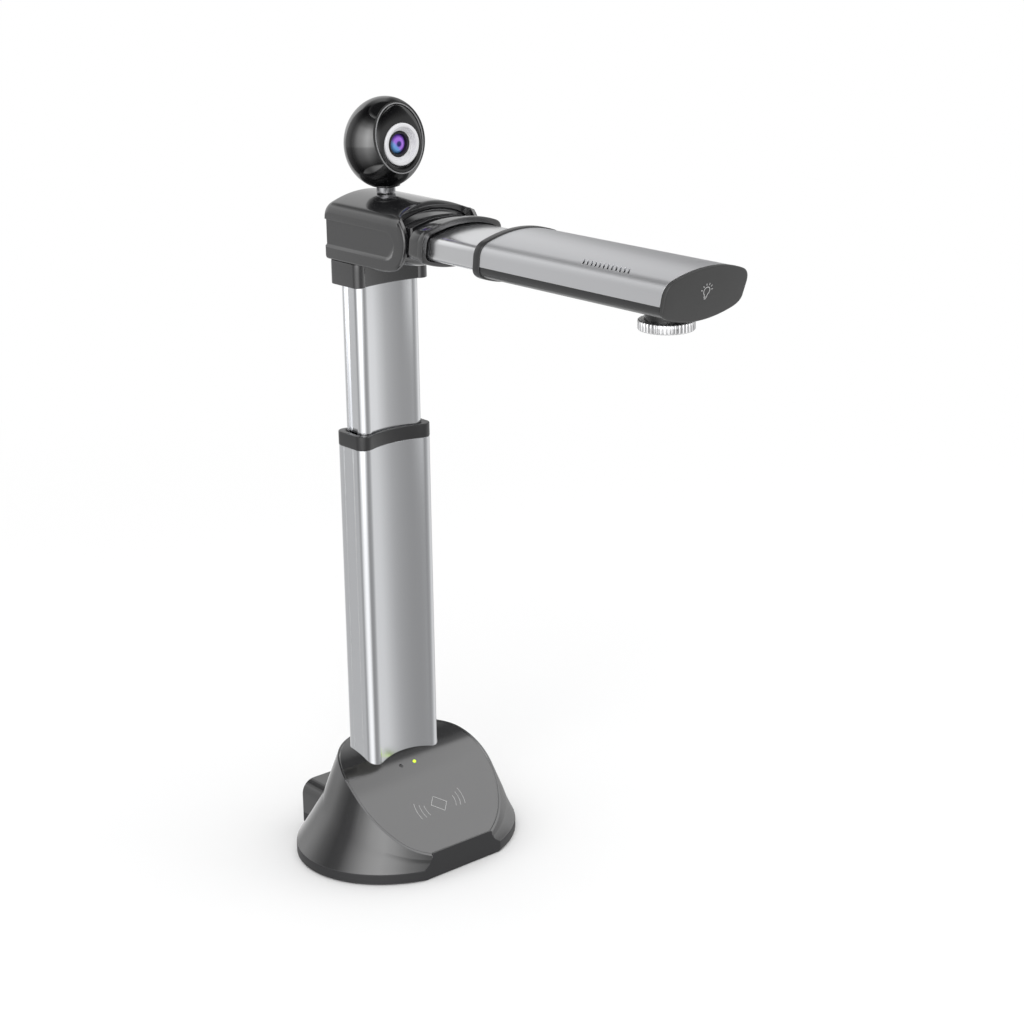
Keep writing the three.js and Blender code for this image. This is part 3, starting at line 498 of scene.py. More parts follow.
class Recipe(Nodes):
    """A node material."""

    def __init__(self, name):
        self.material = bpy.data.materials.new(name)
        self.material.use_nodes = True
        super().__init__(self.material.node_tree)
        self.shader = self.tree.nodes["Principled BSDF"]
        self.place = self.new("TexCoord").outputs["Object"]

    def finish(self, **values):
        """Feeds the shader's inputs, named with underscores for spaces."""
        for name, source in values.items():
            title = name.replace("_", " ").title().replace("Ior", "IOR")
            self.feed(self.shader.inputs[title], source)
        return self.material

    def noise(self, scale, detail=3.0, stretch=(1, 1, 1)):
        mapping = self.made("Mapping", {"Vector": self.place, "Scale": stretch})
        sources = {"Scale": scale, "Detail": detail, "Vector": mapping.outputs["Vector"]}
        return self.made("TexNoise", sources).outputs["Fac"]

    def mottled(self, tone):
        """A colour that varies a little from place to place, in soft clouds."""
        return self.blend(self.noise(45), shade(tone, 0.96), shade(tone, 1.04))

    def soft_edges(self, radius):
        """The surface direction with its sharp edges eased by a small radius."""
        return self.made("Bevel", {"Radius": radius * MM}, samples=4).outputs["Normal"]

    def edge_mask(self, normal):
        """How much of an edge a point is on: 0 on flat faces, towards 1 on edges."""
        flat = self.new("NewGeometry").outputs["Normal"]
        away = self.math("SUBTRACT", 1.0, self.vector("DOT_PRODUCT", normal, flat))
        return self.math("MULTIPLY", away, 3.0)

    def relief(self, height, strength, distance, normal=None):
        sources = {"Strength": strength, "Distance": distance * MM, "Height": height}
        if normal is not None:
            sources["Normal"] = normal
        self.feed(self.shader.inputs["Normal"], self.made("Bump", sources).outputs["Normal"])

    def cover(self, amount, first, second):
        """Shows a mix of two shaders in place of the main one."""
        both = self.made("MixShader", [amount, first.outputs[0], second.outputs[0]])
        output = next(n for n in self.tree.nodes if n.type == "OUTPUT_MATERIAL")
        self.feed(output.inputs["Surface"], both.outputs[0])
        return self.material


def shade(tone, factor):
    return tuple(min(c * factor, 1) for c in tone)


def plastic(name, tone, roughness, ior=1.5, grain=0.15, coat=0.0, edge=0.35, edge_highlight=2.2):
    """Moulded plastic: slight mottling, a fine grain, and edges painted lighter as a highlight."""
    recipe = Recipe(name)
    base = recipe.mottled(tone)
    eased = recipe.soft_edges(edge)
    # Painted highlight: the edges' colour is raised by a factor so that they look lit.
    highlighted = recipe.blend(recipe.edge_mask(eased), base, shade(tone, edge_highlight))
    sheen = recipe.spread(recipe.noise(120, 4), roughness * 0.95, roughness * 1.05)
    recipe.relief(recipe.noise(2600, 2), grain, 0.02, eased)
    return recipe.finish(base_color=highlighted, roughness=sheen, ior=ior, coat_weight=coat,
                         coat_roughness=roughness * 0.5)


def moulded_base(name, tone):
    """The base's glossy plastic. Its foot rim and its upright front are matt, the front has fine
    upright lines, and a painted highlight lightens its edges."""
    recipe = Recipe(name)
    x, y, z = recipe.split(recipe.place)
    front = recipe.math("LESS_THAN", y, (FRONT_WALL + 0.2) * MM)
    matt = recipe.math("MAXIMUM", recipe.math("LESS_THAN", z, (SKIRT["top"] + 0.1) * MM), front)
    wave = recipe.math("SINE", recipe.math("MULTIPLY", x, 2 * math.pi / (1.1 * MM)))
    lines = recipe.math("MULTIPLY", recipe.math("MULTIPLY", wave, 0.5), front)
    gloss = recipe.mottled(tone)
    eased = recipe.soft_edges(0.35)
    # Painted highlight: the edges' colour is raised eightfold so that they look lit.
    highlighted = recipe.blend(recipe.edge_mask(eased), gloss, shade(tone, 8))
    height = recipe.math("ADD", lines, recipe.math("MULTIPLY", recipe.noise(2600, 2), 0.2))
    recipe.relief(height, 0.15, 0.05, eased)
    return recipe.finish(
        base_color=recipe.blend(matt, highlighted, shade(tone, 1.5)),
        roughness=recipe.math("ADD", 0.14, recipe.math("MULTIPLY", matt, 0.4)),
        ior=recipe.math("SUBTRACT", 2.0, recipe.math("MULTIPLY", matt, 0.55)),
    )


def anodised(name, tone, roughness, stretch):
    """Anodised aluminium: drawn lines along the extrusion, a fine satin grain, and a painted highlight on
    its edges.
    """
    recipe = Recipe(name)
    drawn = recipe.noise(1500, 4, stretch)
    tinted = recipe.blend(recipe.noise(18), shade(tone, 0.99), shade(tone, 1.01))
    lined = recipe.blend(drawn, shade(tone, 0.98), tinted)
    eased = recipe.soft_edges(0.25)
    # Painted highlight: the edges' colour is raised by a quarter so that they look lit.
    bright = recipe.blend(recipe.edge_mask(eased), lined, shade(tone, 1.25))
    recipe.relief(drawn, 0.02, 0.02, eased)
    return recipe.finish(base_color=bright, metallic=1.0,
                         roughness=recipe.spread(drawn, roughness * 0.95, roughness * 1.05))


def metal(name, tone, roughness, scale=900, scratch=0.1):
    """Plain bright metal with faint turning marks and handling marks."""
    recipe = Recipe(name)
    marks = recipe.noise(scale, 5)
    recipe.relief(marks, scratch, 0.01, recipe.soft_edges(0.2))
    return recipe.finish(base_color=recipe.blend(marks, shade(tone, 0.9), shade(tone, 1.08)), metallic=1.0,
                         roughness=recipe.spread(marks, roughness * 0.7, roughness * 1.3))


def circuit(name):
    """Solder-masked board: a faint weave under the green and a grid of copper-lit tracks."""
    recipe = Recipe(name)
    wave = recipe.made("TexWave", {"Scale": 260, "Distortion": 6, "Vector": recipe.place}).outputs["Fac"]
    colour = recipe.blend(recipe.spread(wave, 0, 1), (0.010, 0.075, 0.030), (0.030, 0.160, 0.060))
    recipe.relief(wave, 0.2, 0.03, recipe.soft_edges(0.2))
    return recipe.finish(base_color=colour, roughness=0.35)


def rubber(name):
    """Matte rubber with a coarse moulded grain."""
    recipe = Recipe(name)
    grain = recipe.noise(3200, 4)
    recipe.relief(grain, 0.5, 0.05, recipe.soft_edges(0.3))
    return recipe.finish(base_color=recipe.blend(grain, (0.010,) * 3, (0.022,) * 3), roughness=0.85)


# The colours of the painted reflection in the coated glass, round a dark pupil, from the middle of the lens
# to its edge.
LENS_REFLECTION_RINGS = (
    (0.0, (0.01, 0.01, 0.06)),
    (0.20, (0.02, 0.02, 0.16)),
    (0.30, (0.30, 0.12, 0.62)),
    (0.52, (0.34, 0.14, 0.66)),
    (0.74, (0.10, 0.04, 0.30)),
    (0.90, (0.03, 0.02, 0.10)),
    (1.0, (0.015, 0.012, 0.03)),
)


def coated_glass(name, centre, across):
    """Coated lens glass: a painted reflection in violet and blue that turns with the place on the lens,
    over a dark pupil, and a faint glow that is painted light. across is the lens's radius in millimetres."""
    recipe = Recipe(name)
    frame_of_lens = {"Vector": recipe.place, "Location": tuple(centre * MM), "Scale": (across * MM,) * 3}
    place = recipe.made("Mapping", frame_of_lens, vector_type="TEXTURE").outputs["Vector"]
    # Painted reflection: rings of coating colour by the distance from the lens's middle.
    rings = recipe.ramp(recipe.vector("LENGTH", place), LENS_REFLECTION_RINGS, 0, 1)
    x, _, z = recipe.split(place)
    # Painted reflection: a blue tint towards the lower left of the lens.
    lower_left_reflection = recipe.math("SUBTRACT", 0.15, recipe.math("ADD", x, z))
    colour = recipe.blend(recipe.spread(lower_left_reflection, 0.0, 0.75), rings, (0.06, 0.36, 0.62), kind="COLOR")
    recipe.relief(recipe.noise(60, 1), 0.02, 0.05)
    # The glass glows faintly in its own colour: painted light.
    return recipe.finish(base_color=colour, emission_color=colour, emission_strength=0.25, roughness=0.06,
                         coat_weight=1.0, coat_roughness=0.02)


def glowing(name, tone, strength):
    """A lit indicator: brighter at its heart than at its rim."""
    recipe = Recipe(name)
    facing = recipe.made("LayerWeight", {"Blend": 0.4}).outputs["Facing"]
    colour = recipe.blend(facing, shade(tone, 1.3), shade(tone, 0.5))
    recipe.relief(recipe.noise(900, 2), 0.05, 0.02)
    return recipe.finish(base_color=colour, emission_color=colour, emission_strength=strength,
                         roughness=0.15)


def printed(name, tone):
    """Pad-printed ink: a little uneven where the grain shows through."""
    recipe = Recipe(name)
    speckle = recipe.noise(5200, 4)
    recipe.relief(speckle, 0.1, 0.01)
    return recipe.finish(base_color=recipe.blend(speckle, shade(tone, 0.85), tone), roughness=0.5)


DRAWN_UP = (1, 1, 0.01)          # noise stretched into lines along Z
DRAWN_ALONG = (1, 0.01, 1)       # and along Y

LOOK = {
    "base": moulded_base("moulded_base", (0.017, 0.017, 0.018)),
    # The face and the head get a strong painted highlight on their edges.
    "face": plastic("satin_face", (0.020, 0.020, 0.021), 0.12, ior=2.0, grain=0.02, edge_highlight=10),
    "head": plastic("glossy_head", (0.014, 0.014, 0.015), 0.12, ior=1.9, grain=0.03, coat=0.3, edge_highlight=9),
    "dark": plastic("satin_black", (0.020, 0.020, 0.021), 0.30, ior=1.6, grain=0.12),
    "cap": plastic("cap_black", (0.040, 0.040, 0.040), 0.45, ior=1.5, grain=0.15),
    "gloss": plastic("piano_black", (0.003, 0.003, 0.0035), 0.10, ior=2.0, grain=0.01, edge=0.15),
    "lower": anodised("satin_aluminium", (0.72, 0.73, 0.75), 0.20, DRAWN_UP),
    "inner": anodised("bright_aluminium", (0.80, 0.81, 0.83), 0.14, DRAWN_UP),
    "sleeve": anodised("sleeve_aluminium", (0.80, 0.805, 0.825), 0.36, DRAWN_ALONG),
    "arm": anodised("arm_aluminium", (0.78, 0.785, 0.80), 0.22, DRAWN_ALONG),
    "steel": metal("plain_steel", (0.52, 0.52, 0.53), 0.32),
    "iron": metal("cast_iron", (0.10, 0.10, 0.10), 0.6, scale=400, scratch=0.6),
    "chrome": metal("chrome_plate", (0.85, 0.85, 0.86), 0.08, scale=700, scratch=0.03),
    "neck": metal("black_nickel", (0.30, 0.30, 0.31), 0.16, scale=800, scratch=0.03),
    # Painted highlight: a light grey for the bead in the webcam's face joint.
    "line": plastic("painted_highlight_grey", (0.26, 0.26, 0.265), 0.5, ior=1.3),
    "white": plastic("pearl_white", (0.78, 0.78, 0.80), 0.22, ior=1.5, grain=0.03, coat=0.4),
    "rubber": rubber("mat_rubber"),
    "board": circuit("circuit_board"),
    "nylon": plastic("natural_nylon", (0.62, 0.60, 0.52), 0.45, grain=0.1),
    "led": glowing("green_led", (0.42, 0.62, 0.04), 1.2),
    "window": plastic("frosted_window", (0.30, 0.30, 0.28), 0.3, grain=0.1),
    "ink": printed("grey_ink", (0.50, 0.50, 0.50)),
}


# ---------------------------------------------------------------- column
def tube(outline, plain, wall, low, high, edge):
    """A drawn tube: its outer outline may have grooves, and its bore follows the plain one."""
    outer = upright(outline, edge_profile(low, high, edge, 3))
    bore = [[(x, y, z) for x, y in offset(plain, -wall)] for z in (high, low)]
    return solid(loft(outer + bore, hollow=True))


def build_lower_column():
    flat = DECOR_LINE["y"]
    half = DECOR_LINE["wide"] / 2
    lines = [(-flat, half, DECOR_LINE["deep"]), (flat, half, DECOR_LINE["deep"])]
    shallow = [(centre, half, 0) for centre, half, _ in lines]
    body = tube(column_outline(LOWER_SECTION, lines), column_outline(LOWER_SECTION, shallow),
                COLUMN_WALL, LOWER_LOW.z, LOWER_HIGH.z, 0.15)
    fine(body, "lower_column", "base", "satin_aluminium", "lower")


def build_inner_column():
    track = [(0, TRACK["half"], TRACK["deep"])]
    plain = [(0, TRACK["half"], 0)]
    body = tube(column_outline(INNER_SECTION, track), column_outline(INNER_SECTION, plain),
                TRACK["deep"] + 0.9, INNER_LOW.z, INNER_HIGH.z, 0.15)
    fine(body, "inner_column", "head", "bright_aluminium", "inner")


def build_collar():
    low = LOWER_HIGH.z + 0.1
    top = COLLAR_HIGH.z
    inner = column_outline(INNER_SECTION)
    body = risen(column_outline(COLLAR_SECTION), edge_profile(low, top, 0.5))
    cut(body, prism(inner, low - 20, 300, 0.45), risen(inner, [(-0.4, top - 0.7), (-1.2, top + 0.1)]))
    fine(body, "column_collar", "base", "dark_plastic", "dark")


def build_bracket():
    body = risen(column_outline(BRACKET_SECTION), edge_profile(BRACKET_LOW.z, BRACKET_HIGH.z, 0.6))
    cut(body, prism(column_outline(INNER_SECTION), 300, INNER_HIGH.z + 0.2, 0.15))
    fine(body, "column_bracket", "head", "dark_plastic", "head")


# ---------------------------------------------------------------- head
def head_side(drop, inset):
    """The head's side view as (y, z) points: a square back and a round nose about the hinge."""
    r = HINGE.y - HEAD_LOW.y
    back = HEAD_HIGH.y
    bottom = HEAD_LOW.z
    crest = HEAD_HIGH.z - drop
    up = 50
    nose_y = HINGE.y - r * math.cos(math.radians(up))
    nose_z = min(HINGE.z + r * math.sin(math.radians(up)), crest - 0.4)
    points = arc(back - 2.2, bottom + 2.2, 2.2, -90, 0, 8)
    corner = (back, crest - 5.5)
    points.append(corner)
    points += bend(corner, (back, crest), (back - 5.5, crest), 12)
    brow = (nose_y + 9, crest - 0.35)
    points += line(points[-1], brow, 10)
    points += bend(brow, (nose_y + 3.2, crest - 0.6), (nose_y, nose_z), 12)
    points += arc(HINGE.y, HINGE.z, r, 180 - up, 270, 40)[1:]
    points += line((HINGE.y, HINGE.z - r), (HINGE.y + 3, bottom), 3)
    outline = tidy(points)[::-1]
    area = sum(a[0] * b[1] - b[0] * a[1] for a, b in zip(outline, outline[1:] + outline[:1]))
    if area < 0:
        outline = outline[::-1]
    return offset(outline, -inset)


def head_form():
    """The closed outer form: side views from left to right, lower towards the sides."""
    half = HEAD_HIGH.x
    radius = 1.6
    shoulder = 4.5
    flat = half - shoulder
    insets = {}
    for i in range(7):
        a = math.radians(90 * i / 6)
        insets[round(half - radius * (1 - math.sin(a)), 4)] = radius * (1 - math.cos(a))
    middle = {round(flat - flat * i / 14, 4) for i in range(15)}
    bend_over = {round(flat + (shoulder - radius) * i / 6, 4) for i in range(7)}
    xs = sorted({*insets, *middle, *bend_over})
    rings = []
    for x in [-v for v in reversed(xs) if v > 0] + xs:
        away = abs(x)
        drop = HEAD_ARCH * away ** 2
        if away > flat:
            drop += 2.6 * ((away - flat) / shoulder) ** 2.5
        rings.append([(x, y, z) for y, z in head_side(drop, insets.get(round(away, 4), 0))])
    return solid(loft(rings))


def barrel(r, half, taper=DRUM_TAPER, edge=0.0):
    """A barrel about the hinge's axis, from the left to the right."""
    profile = []
    steps = 24
    for i in range(steps + 1):
        x = -half + 2 * half * i / steps
        near_end = max(0.0, edge - (half - abs(x)))
        eased = edge - math.sqrt(max(edge ** 2 - near_end ** 2, 0)) if edge else 0
        profile.append((r - taper * x * x - eased, x))
    rings = []
    for radius, x in profile:
        rings.append([(x, HINGE.y + y, HINGE.z + z) for y, z in circle(0, 0, radius, 96)])
    return solid(loft(rings))


def side_band():
    """A cutter for the panel that is pressed into both sides and round the back, with a ledge that
    slopes out along its foot and round its front."""
    low, high = PANEL_BAND
    depth = 1.1
    ledge = 1.7
    half = HEAD_HIGH.x
    front = HINGE.y - 8.2
    levels = ((ledge, half - depth), (0.1, half - 0.05), (-0.1, half + 0.3), (-0.1, half + 4))

    def outline(inset):
        foot = low + inset
        r = (high - foot) / 2
        way = tidy([(40, foot), (40, high)] + arc(front + inset + r, high - r, r, 90, 270, 30))
        return way[::-1]

    cutters = []
    for side in (-1, 1):
        rings = [[(side * x, y, z) for y, z in outline(inset)] for inset, x in levels]
        cutters.append(solid(loft(rings)))
    back = HEAD_HIGH.y - depth
    far = back + 6
    behind = [(back, low + ledge), (back + depth, low), (far, low - 0.1), (far, high), (back, high)]
    cutters.append(across(behind, [(0, -40), (0, 40)]))
    return cutters


def build_head():
    body = head_form()
    inside = DRUM_HALF + 0.6
    mouth = tidy(
        [(-inside, -90), (inside, -90)]
        + arc(inside - 5, HINGE.y - 13, 5, 0, 90, 10)
        + arc(5 - inside, HINGE.y - 13, 5, 90, 180, 10)
    )
    room = [(-25.2, -90), (25.2, -90), (25.2, HINGE.y + 14), (-25.2, HINGE.y + 14)]
    cut(
        body,
        *side_band(),
        prism(mouth, UNDER_HEAD, OVER_HEAD),
        barrel(SOCKET_HIGH.y - HINGE.y + 0.5, inside),
        prism(room, UNDER_HEAD, HINGE.z),
        prism(circle(NECK.x, NECK.y, 4.2, 48), 380, OVER_HEAD),
        block(-25.5, 25.5, -22.2, HEAD_HIGH.y - 2.4, 360, HEAD_HIGH.z - 8.5),
    )
    fine(body, "head_housing", "head", "head_plastic", "head")


# ---------------------------------------------------------------- arm
def build_arm_socket():
    slope = SOCKET_SLOPE
    drum = barrel(SOCKET_HIGH.y - HINGE.y, DRUM_HALF, edge=1.2)
    cheek = slanted(arm_outline(1.4), edge_profile(-73.4, -63.4, 0.9), slope)
    flange = slanted(arm_outline(0.2), edge_profile(-77, -72.6, 0.8), slope)
    neck = across([(-40, 379), (-40, 392), (-46, 397.4), (-51.6, 400.6), (-56.5, 402.6), (-62, 402.2),
                   (-62, 379)], ((0.8, -23.6), (0, -22.8), (0, 22.8), (0.8, 23.6)))
    arch = slanted(arm_outline(1.7), [(0, -90), (0, -30)])
    body = join(drum, common(neck, arch), cheek, flange)
    inner = arm_outline(INNER_INSET - 0.2, INNER_DROP)
    bore = slanted(inner, [(0, -120), (0, -66)])
    funnel = slanted(inner, [(0, -76.2), (-0.9, -77.4)], slope)
    cut(body, bore, funnel, barrel(3.05, 40, taper=0))
    fine(body, "arm_socket", "arm", "head_plastic", "head")


def hollow_arm(outline, wall, low, high, edge, slope=0.0):
    outer = leaning(outline, edge_profile(low, high, edge, 3), slope)
    inner = leaning(outline, [(wall, high), (wall, low)], slope)
    return solid(loft(outer + inner, hollow=True))


def build_inner_arm():
    outline = arm_outline(INNER_INSET, INNER_DROP)
    body = hollow_arm(outline, INNER_WALL, ARM_LOW.y, ARM_HIGH.y, 0.2)
    fine(body, "inner_arm", "arm", "bright_aluminium", "arm")


def split_skin(outline, above, seam, wall):
    """The part of a skin above or below the seam, as one closed outline."""
    keep = [p for p in outline if (p[1] > seam) == above]
    start = next(
        i for i, p in enumerate(outline)
        if (p[1] > seam) == above and (outline[i - 1][1] > seam) != above
    )
    run = [outline[(start + i) % len(outline)] for i in range(len(keep))]
    run = [(run[0][0], seam), *run, (run[-1][0], seam)]
    back = run[::-1]
    inner = []
    for (x, z), along in zip(back, directions(back)):
        inner.append((x + along.y * wall, z - along.x * wall))
    inner[0] = (inner[0][0], seam)
    inner[-1] = (inner[-1][0], seam)
    return run + inner


VENTS = {"count": 12, "first": -203.0, "pitch": 3.0, "x": -23.0, "long": 5.4, "wide": 1.0, "turn": 35}


def vent_cutters():
    """A row of slanting round-ended slots through the top shell."""
    a = math.radians(VENTS["turn"])
    r = VENTS["wide"] / 2
    reach = VENTS["long"] / 2 - r
    outline = tidy(arc(reach, 0, r, -90, 90, 8) + arc(-reach, 0, r, 90, 270, 8))
    slots = []
    for i in range(VENTS["count"]):
        middle = VENTS["first"] - i * VENTS["pitch"]
        plan = [(VENTS["x"] + x * math.cos(a) - y * math.sin(a), middle + x * math.sin(a) + y * math.cos(a))
                for x, y in outline]
        slots.append(prism(plan, SEAM + 4, 415))
    return slots


SLEEVE_REAR = -126.8
SLEEVE_FRONT = -263.8
CAP_FRONT = -266.6


def sleeve_shell(outline, above, seam):
    shape = split_skin(outline, above, seam, SKIN)
    rings = []
    steps = 24
    for i in range(steps + 1):
        t = i / steps
        ring = []
        for x, z in shape:
            rear = SLEEVE_REAR - REAR_SLOPE * (z - HINGE.z)
            front = SLEEVE_FRONT - FRONT_SLOPE * (z - HINGE.z)
            ring.append((x, rear + (front - rear) * t, z))
        rings.append(ring)
    return solid(loft(rings))


def build_sleeve():
    top = sleeve_shell(arm_outline(0), True, SEAM)
    fine(cut(top, *vent_cutters()), "sleeve_top_shell", "sleeve", "satin_aluminium", "sleeve")

    tray = sleeve_shell(arm_outline(0.35), False, SEAM - 0.15)
    holes = [circle(LENS.x, LENS.y, 11.5, 72),
             [(LAMP_LOW.x - 0.3, LAMP_LOW.y - 0.3), (LAMP_HIGH.x + 0.3, LAMP_LOW.y - 0.3),
              (LAMP_HIGH.x + 0.3, LAMP_HIGH.y + 0.3), (LAMP_LOW.x - 0.3, LAMP_HIGH.y + 0.3)]]
    cut(tray, *(prism(plan, 360, 382) for plan in holes))
    fine(tray, "sleeve_bottom_shell", "sleeve", "dark_plastic", "dark")

    rim = slanted(arm_outline(-0.6), edge_profile(SLEEVE_REAR + 0.1, SLEEVE_REAR + 5.5, 0.9), REAR_SLOPE)
    cut(rim, slanted(arm_outline(INNER_INSET - 0.5, INNER_DROP), [(0, -100), (0, -160)]))
    fine(rim, "sleeve_rear_rim", "sleeve", "dark_plastic", "dark")


def cap_point(x, z, lift=0.0):
    """A point on the end cap's front face, or just above it."""
    lean = math.hypot(1, FRONT_SLOPE)
    y = CAP_FRONT - FRONT_SLOPE * (z - HINGE.z)
    return (x, y - lift / lean, z - lift * FRONT_SLOPE / lean)


def build_end_cap():
    rounded = edge_profile(SLEEVE_FRONT - 0.15, CAP_FRONT, 1.1, 6)[7:]
    levels = [(0.7, SLEEVE_FRONT - 0.15), (0.7, SLEEVE_FRONT - 0.6), (0.0, SLEEVE_FRONT - 0.65), *rounded]
    cover = slanted(arm_outline(-0.1), levels, FRONT_SLOPE)
    plug = hollow_arm(arm_outline(SKIN + 0.2), 2, SLEEVE_FRONT + 5, SLEEVE_FRONT - 0.3, 0.2, FRONT_SLOPE)
    fine(join(cover, plug), "end_cap", "sleeve", "dark_plastic", "cap")
    build_lamp_icon()


def strip(path, width, surface, thick=0.06):
    """A flat printed line along a path of 2-D points, laid on a surface function."""
    left = []
    right = []
    for p, along in zip(path, directions(path)):
        side = along.orthogonal() * width / 2
        left.append((p[0] + side.x, p[1] + side.y))
        right.append((p[0] - side.x, p[1] - side.y))
    outline = left + right[::-1]
    points = [surface(u, v, 0.0) for u, v in outline] + [surface(u, v, thick) for u, v in outline]
    count = len(path)
    total = len(outline)
    faces = []
    for level, flip in ((0, True), (total, False)):
        for i in range(count - 1):
            quad = (level + i, level + i + 1, level + total - 2 - i, level + total - 1 - i)
            faces.append(quad[::-1] if flip else quad)
    for i in range(total):
        j = (i + 1) % total
        faces.append((i, j, total + j, total + i))
    return points, faces


def gather(shapes):
    """Several separate shapes as one."""
    points = []
    faces = []
    for more_points, more_faces in shapes:
        start = len(points)
        points += more_points
        faces += [tuple(start + i for i in face) for face in more_faces]
    return points, faces


def build_lamp_icon():
    """A plain bulb with rays, printed on the cap over the touch key."""
    def surface(u, v, lift):
        return cap_point(u * 0.98, 391.2 + v, lift)

    lines = [
        tidy([(-0.9, -3.4), (-0.9, -2.4)] + arc(0, 0.2, 2.1, 232, -52, 20) + [(0.9, -2.4), (0.9, -3.4)]),
        [(-0.9, -3.0), (0.9, -3.0)],
        [(-0.7, -3.9), (0.7, -3.9)],
    ]
    for angle in range(10, 171, 32):
        a = math.radians(angle)
        lines.append([(3.1 * math.cos(a), 0.2 + 3.1 * math.sin(a)),
                      (4.2 * math.cos(a), 0.2 + 4.2 * math.sin(a))])
    icon = solid(gather([strip(path, 0.42, surface) for path in lines]))
    finish_piece(icon, "printed_lamp_icon", "sleeve", "white_trim", "ink")


# ---------------------------------------------------------------- camera under the arm
def about(x, y):
    return lambda px, py, pz: (px + x, py + y, pz)


def build_lens():
    low = FOCUS_LOW.z
    high = FOCUS_HIGH.z
    outer = FOCUS_HIGH.x
    bore = 11.3
    ribs = 44
    steps = 8
    depth = (0, 0, 0, 0, 0.35, 0.5, 0.5, 0.35)
    angles = whole_turn(ribs * steps)
    rings = []
    for inset, z in ((0.9, low), (0.35, low + 0.25), (0.0, low + 0.75), (0.0, high - 0.6),
                     (0.3, high - 0.2), (0.7, high)):
        ring = []
        for i, a in enumerate(angles):
            r = outer - inset - depth[i % steps] * (1 if inset < 0.6 else 0.6)
            ring.append((r * math.cos(a), r * math.sin(a), z))
        rings.append(ring)
    count = ribs * steps
    for z in (high, low):
        rings.append([(bore * math.cos(a), bore * math.sin(a), z) for a in angles])
    knurl = solid(moved(loft(rings, hollow=True), about(LENS.x, LENS.y)))
    fine(knurl, "focus_ring", "focus", "chrome_trim", "chrome", smooth=40)

    tube_low = low + 0.6
    profile = [(7, low + 2.8), (7.4, low + 2.6), (8.6, tube_low + 0.1), (9.4, tube_low), (10.9, tube_low),
               (11.2, tube_low + 0.3), (11.2, 379.6), (14, 380), (14, 385.8), (7.2, 385.8), (7, 385.5)]
    housing = turned(profile, about(LENS.x, LENS.y))
    fine(housing, "lens_barrel", "sleeve", "dark_plastic", "dark")
    dome = [(0.01, low + 4.2), (2.4, low + 4.45), (4.6, low + 5.1), (6.6, low + 6.2), (6.8, low + 6.4),
            (6.8, low + 7.4), (0.01, low + 7.4)]
    glass = turned(dome, about(LENS.x, LENS.y))
    eye = coated_glass("camera_glass", Vector((LENS.x, LENS.y, low + 4.2)), 6.8)
    fine(glass, "lens_glass", "sleeve", "lens_glass", eye)


# ---------------------------------------------------------------- webcam
BALL = {"y": -8.5, "z": 438.3, "rx": BALL_HIGH.x, "rz": 26.5, "lean": 12.9, "flat": 413.6, "wall": 1.8}
FACE_RIM = {"y": -21.9, "z": 441.7, "rx": 16.6, "rz": 19.8, "lean": -10, "lip": 0.9, "bulge": 0.8}
EYE = {"z": (TRIM_LOW.z + TRIM_HIGH.z) / 2, "edge": TRIM_LOW.y + 0.8, "ring": 12.3}
SWIVEL_BALL = {"r": 5.0, "z": joint_place("webcam_tilt").z}


def leaned(x, y, z, lean, centre):
    """A point turned about X by an angle in degrees, then moved to a centre."""
    a = math.radians(lean)
    return (centre[0] + x, centre[1] + y * math.cos(a) - z * math.sin(a),
            centre[2] + y * math.sin(a) + z * math.cos(a))


def ellipsoid(shrink, steps=64, around=128):
    """The ball's form, turned about its own leaning axis."""
    rx = BALL["rx"] - shrink
    rz = BALL["rz"] - shrink - 0.06
    rings = []
    for i in range(steps + 1):
        a = math.radians(-90 + 180 * i / steps)
        r = max(rx * math.cos(a), 0.01)
        rings.append([
            leaned(r * math.cos(b), r * math.sin(b), rz * math.sin(a), BALL["lean"],
                   (0, BALL["y"], BALL["z"]))
            for b in whole_turn(around)
        ])
    return solid(loft(rings))


def on_face(x, y, z):
    """From the face's own axes, with -Y out of the face, to its place on the ball."""
    return leaned(x, y, z, FACE_RIM["lean"], (0, FACE_RIM["y"], FACE_RIM["z"]))


def rim_ring(inset, y, count=128):
    rx, rz = FACE_RIM["rx"] - inset, FACE_RIM["rz"] - inset
    return [on_face(rx * math.cos(a), y, rz * math.sin(a)) for a in whole_turn(count)]


def panel_ring(part, inset=0.0, back=0.0, count=128):
    """A ring of the front panel, part of the way from its rim to the eye."""
    swell = FACE_RIM["bulge"] * math.sin(math.pi * part)
    points = []
    for a, (x, y, z) in zip(whole_turn(count), rim_ring(inset, 0, count)):
        end = (EYE["ring"] * math.cos(a), EYE["edge"] + 0.4, EYE["z"] + EYE["ring"] * math.sin(a))
        points.append((x + (end[0] - x) * part, y + (end[1] - y) * part - swell + back,
                       z + (end[2] - z) * part))
    return points


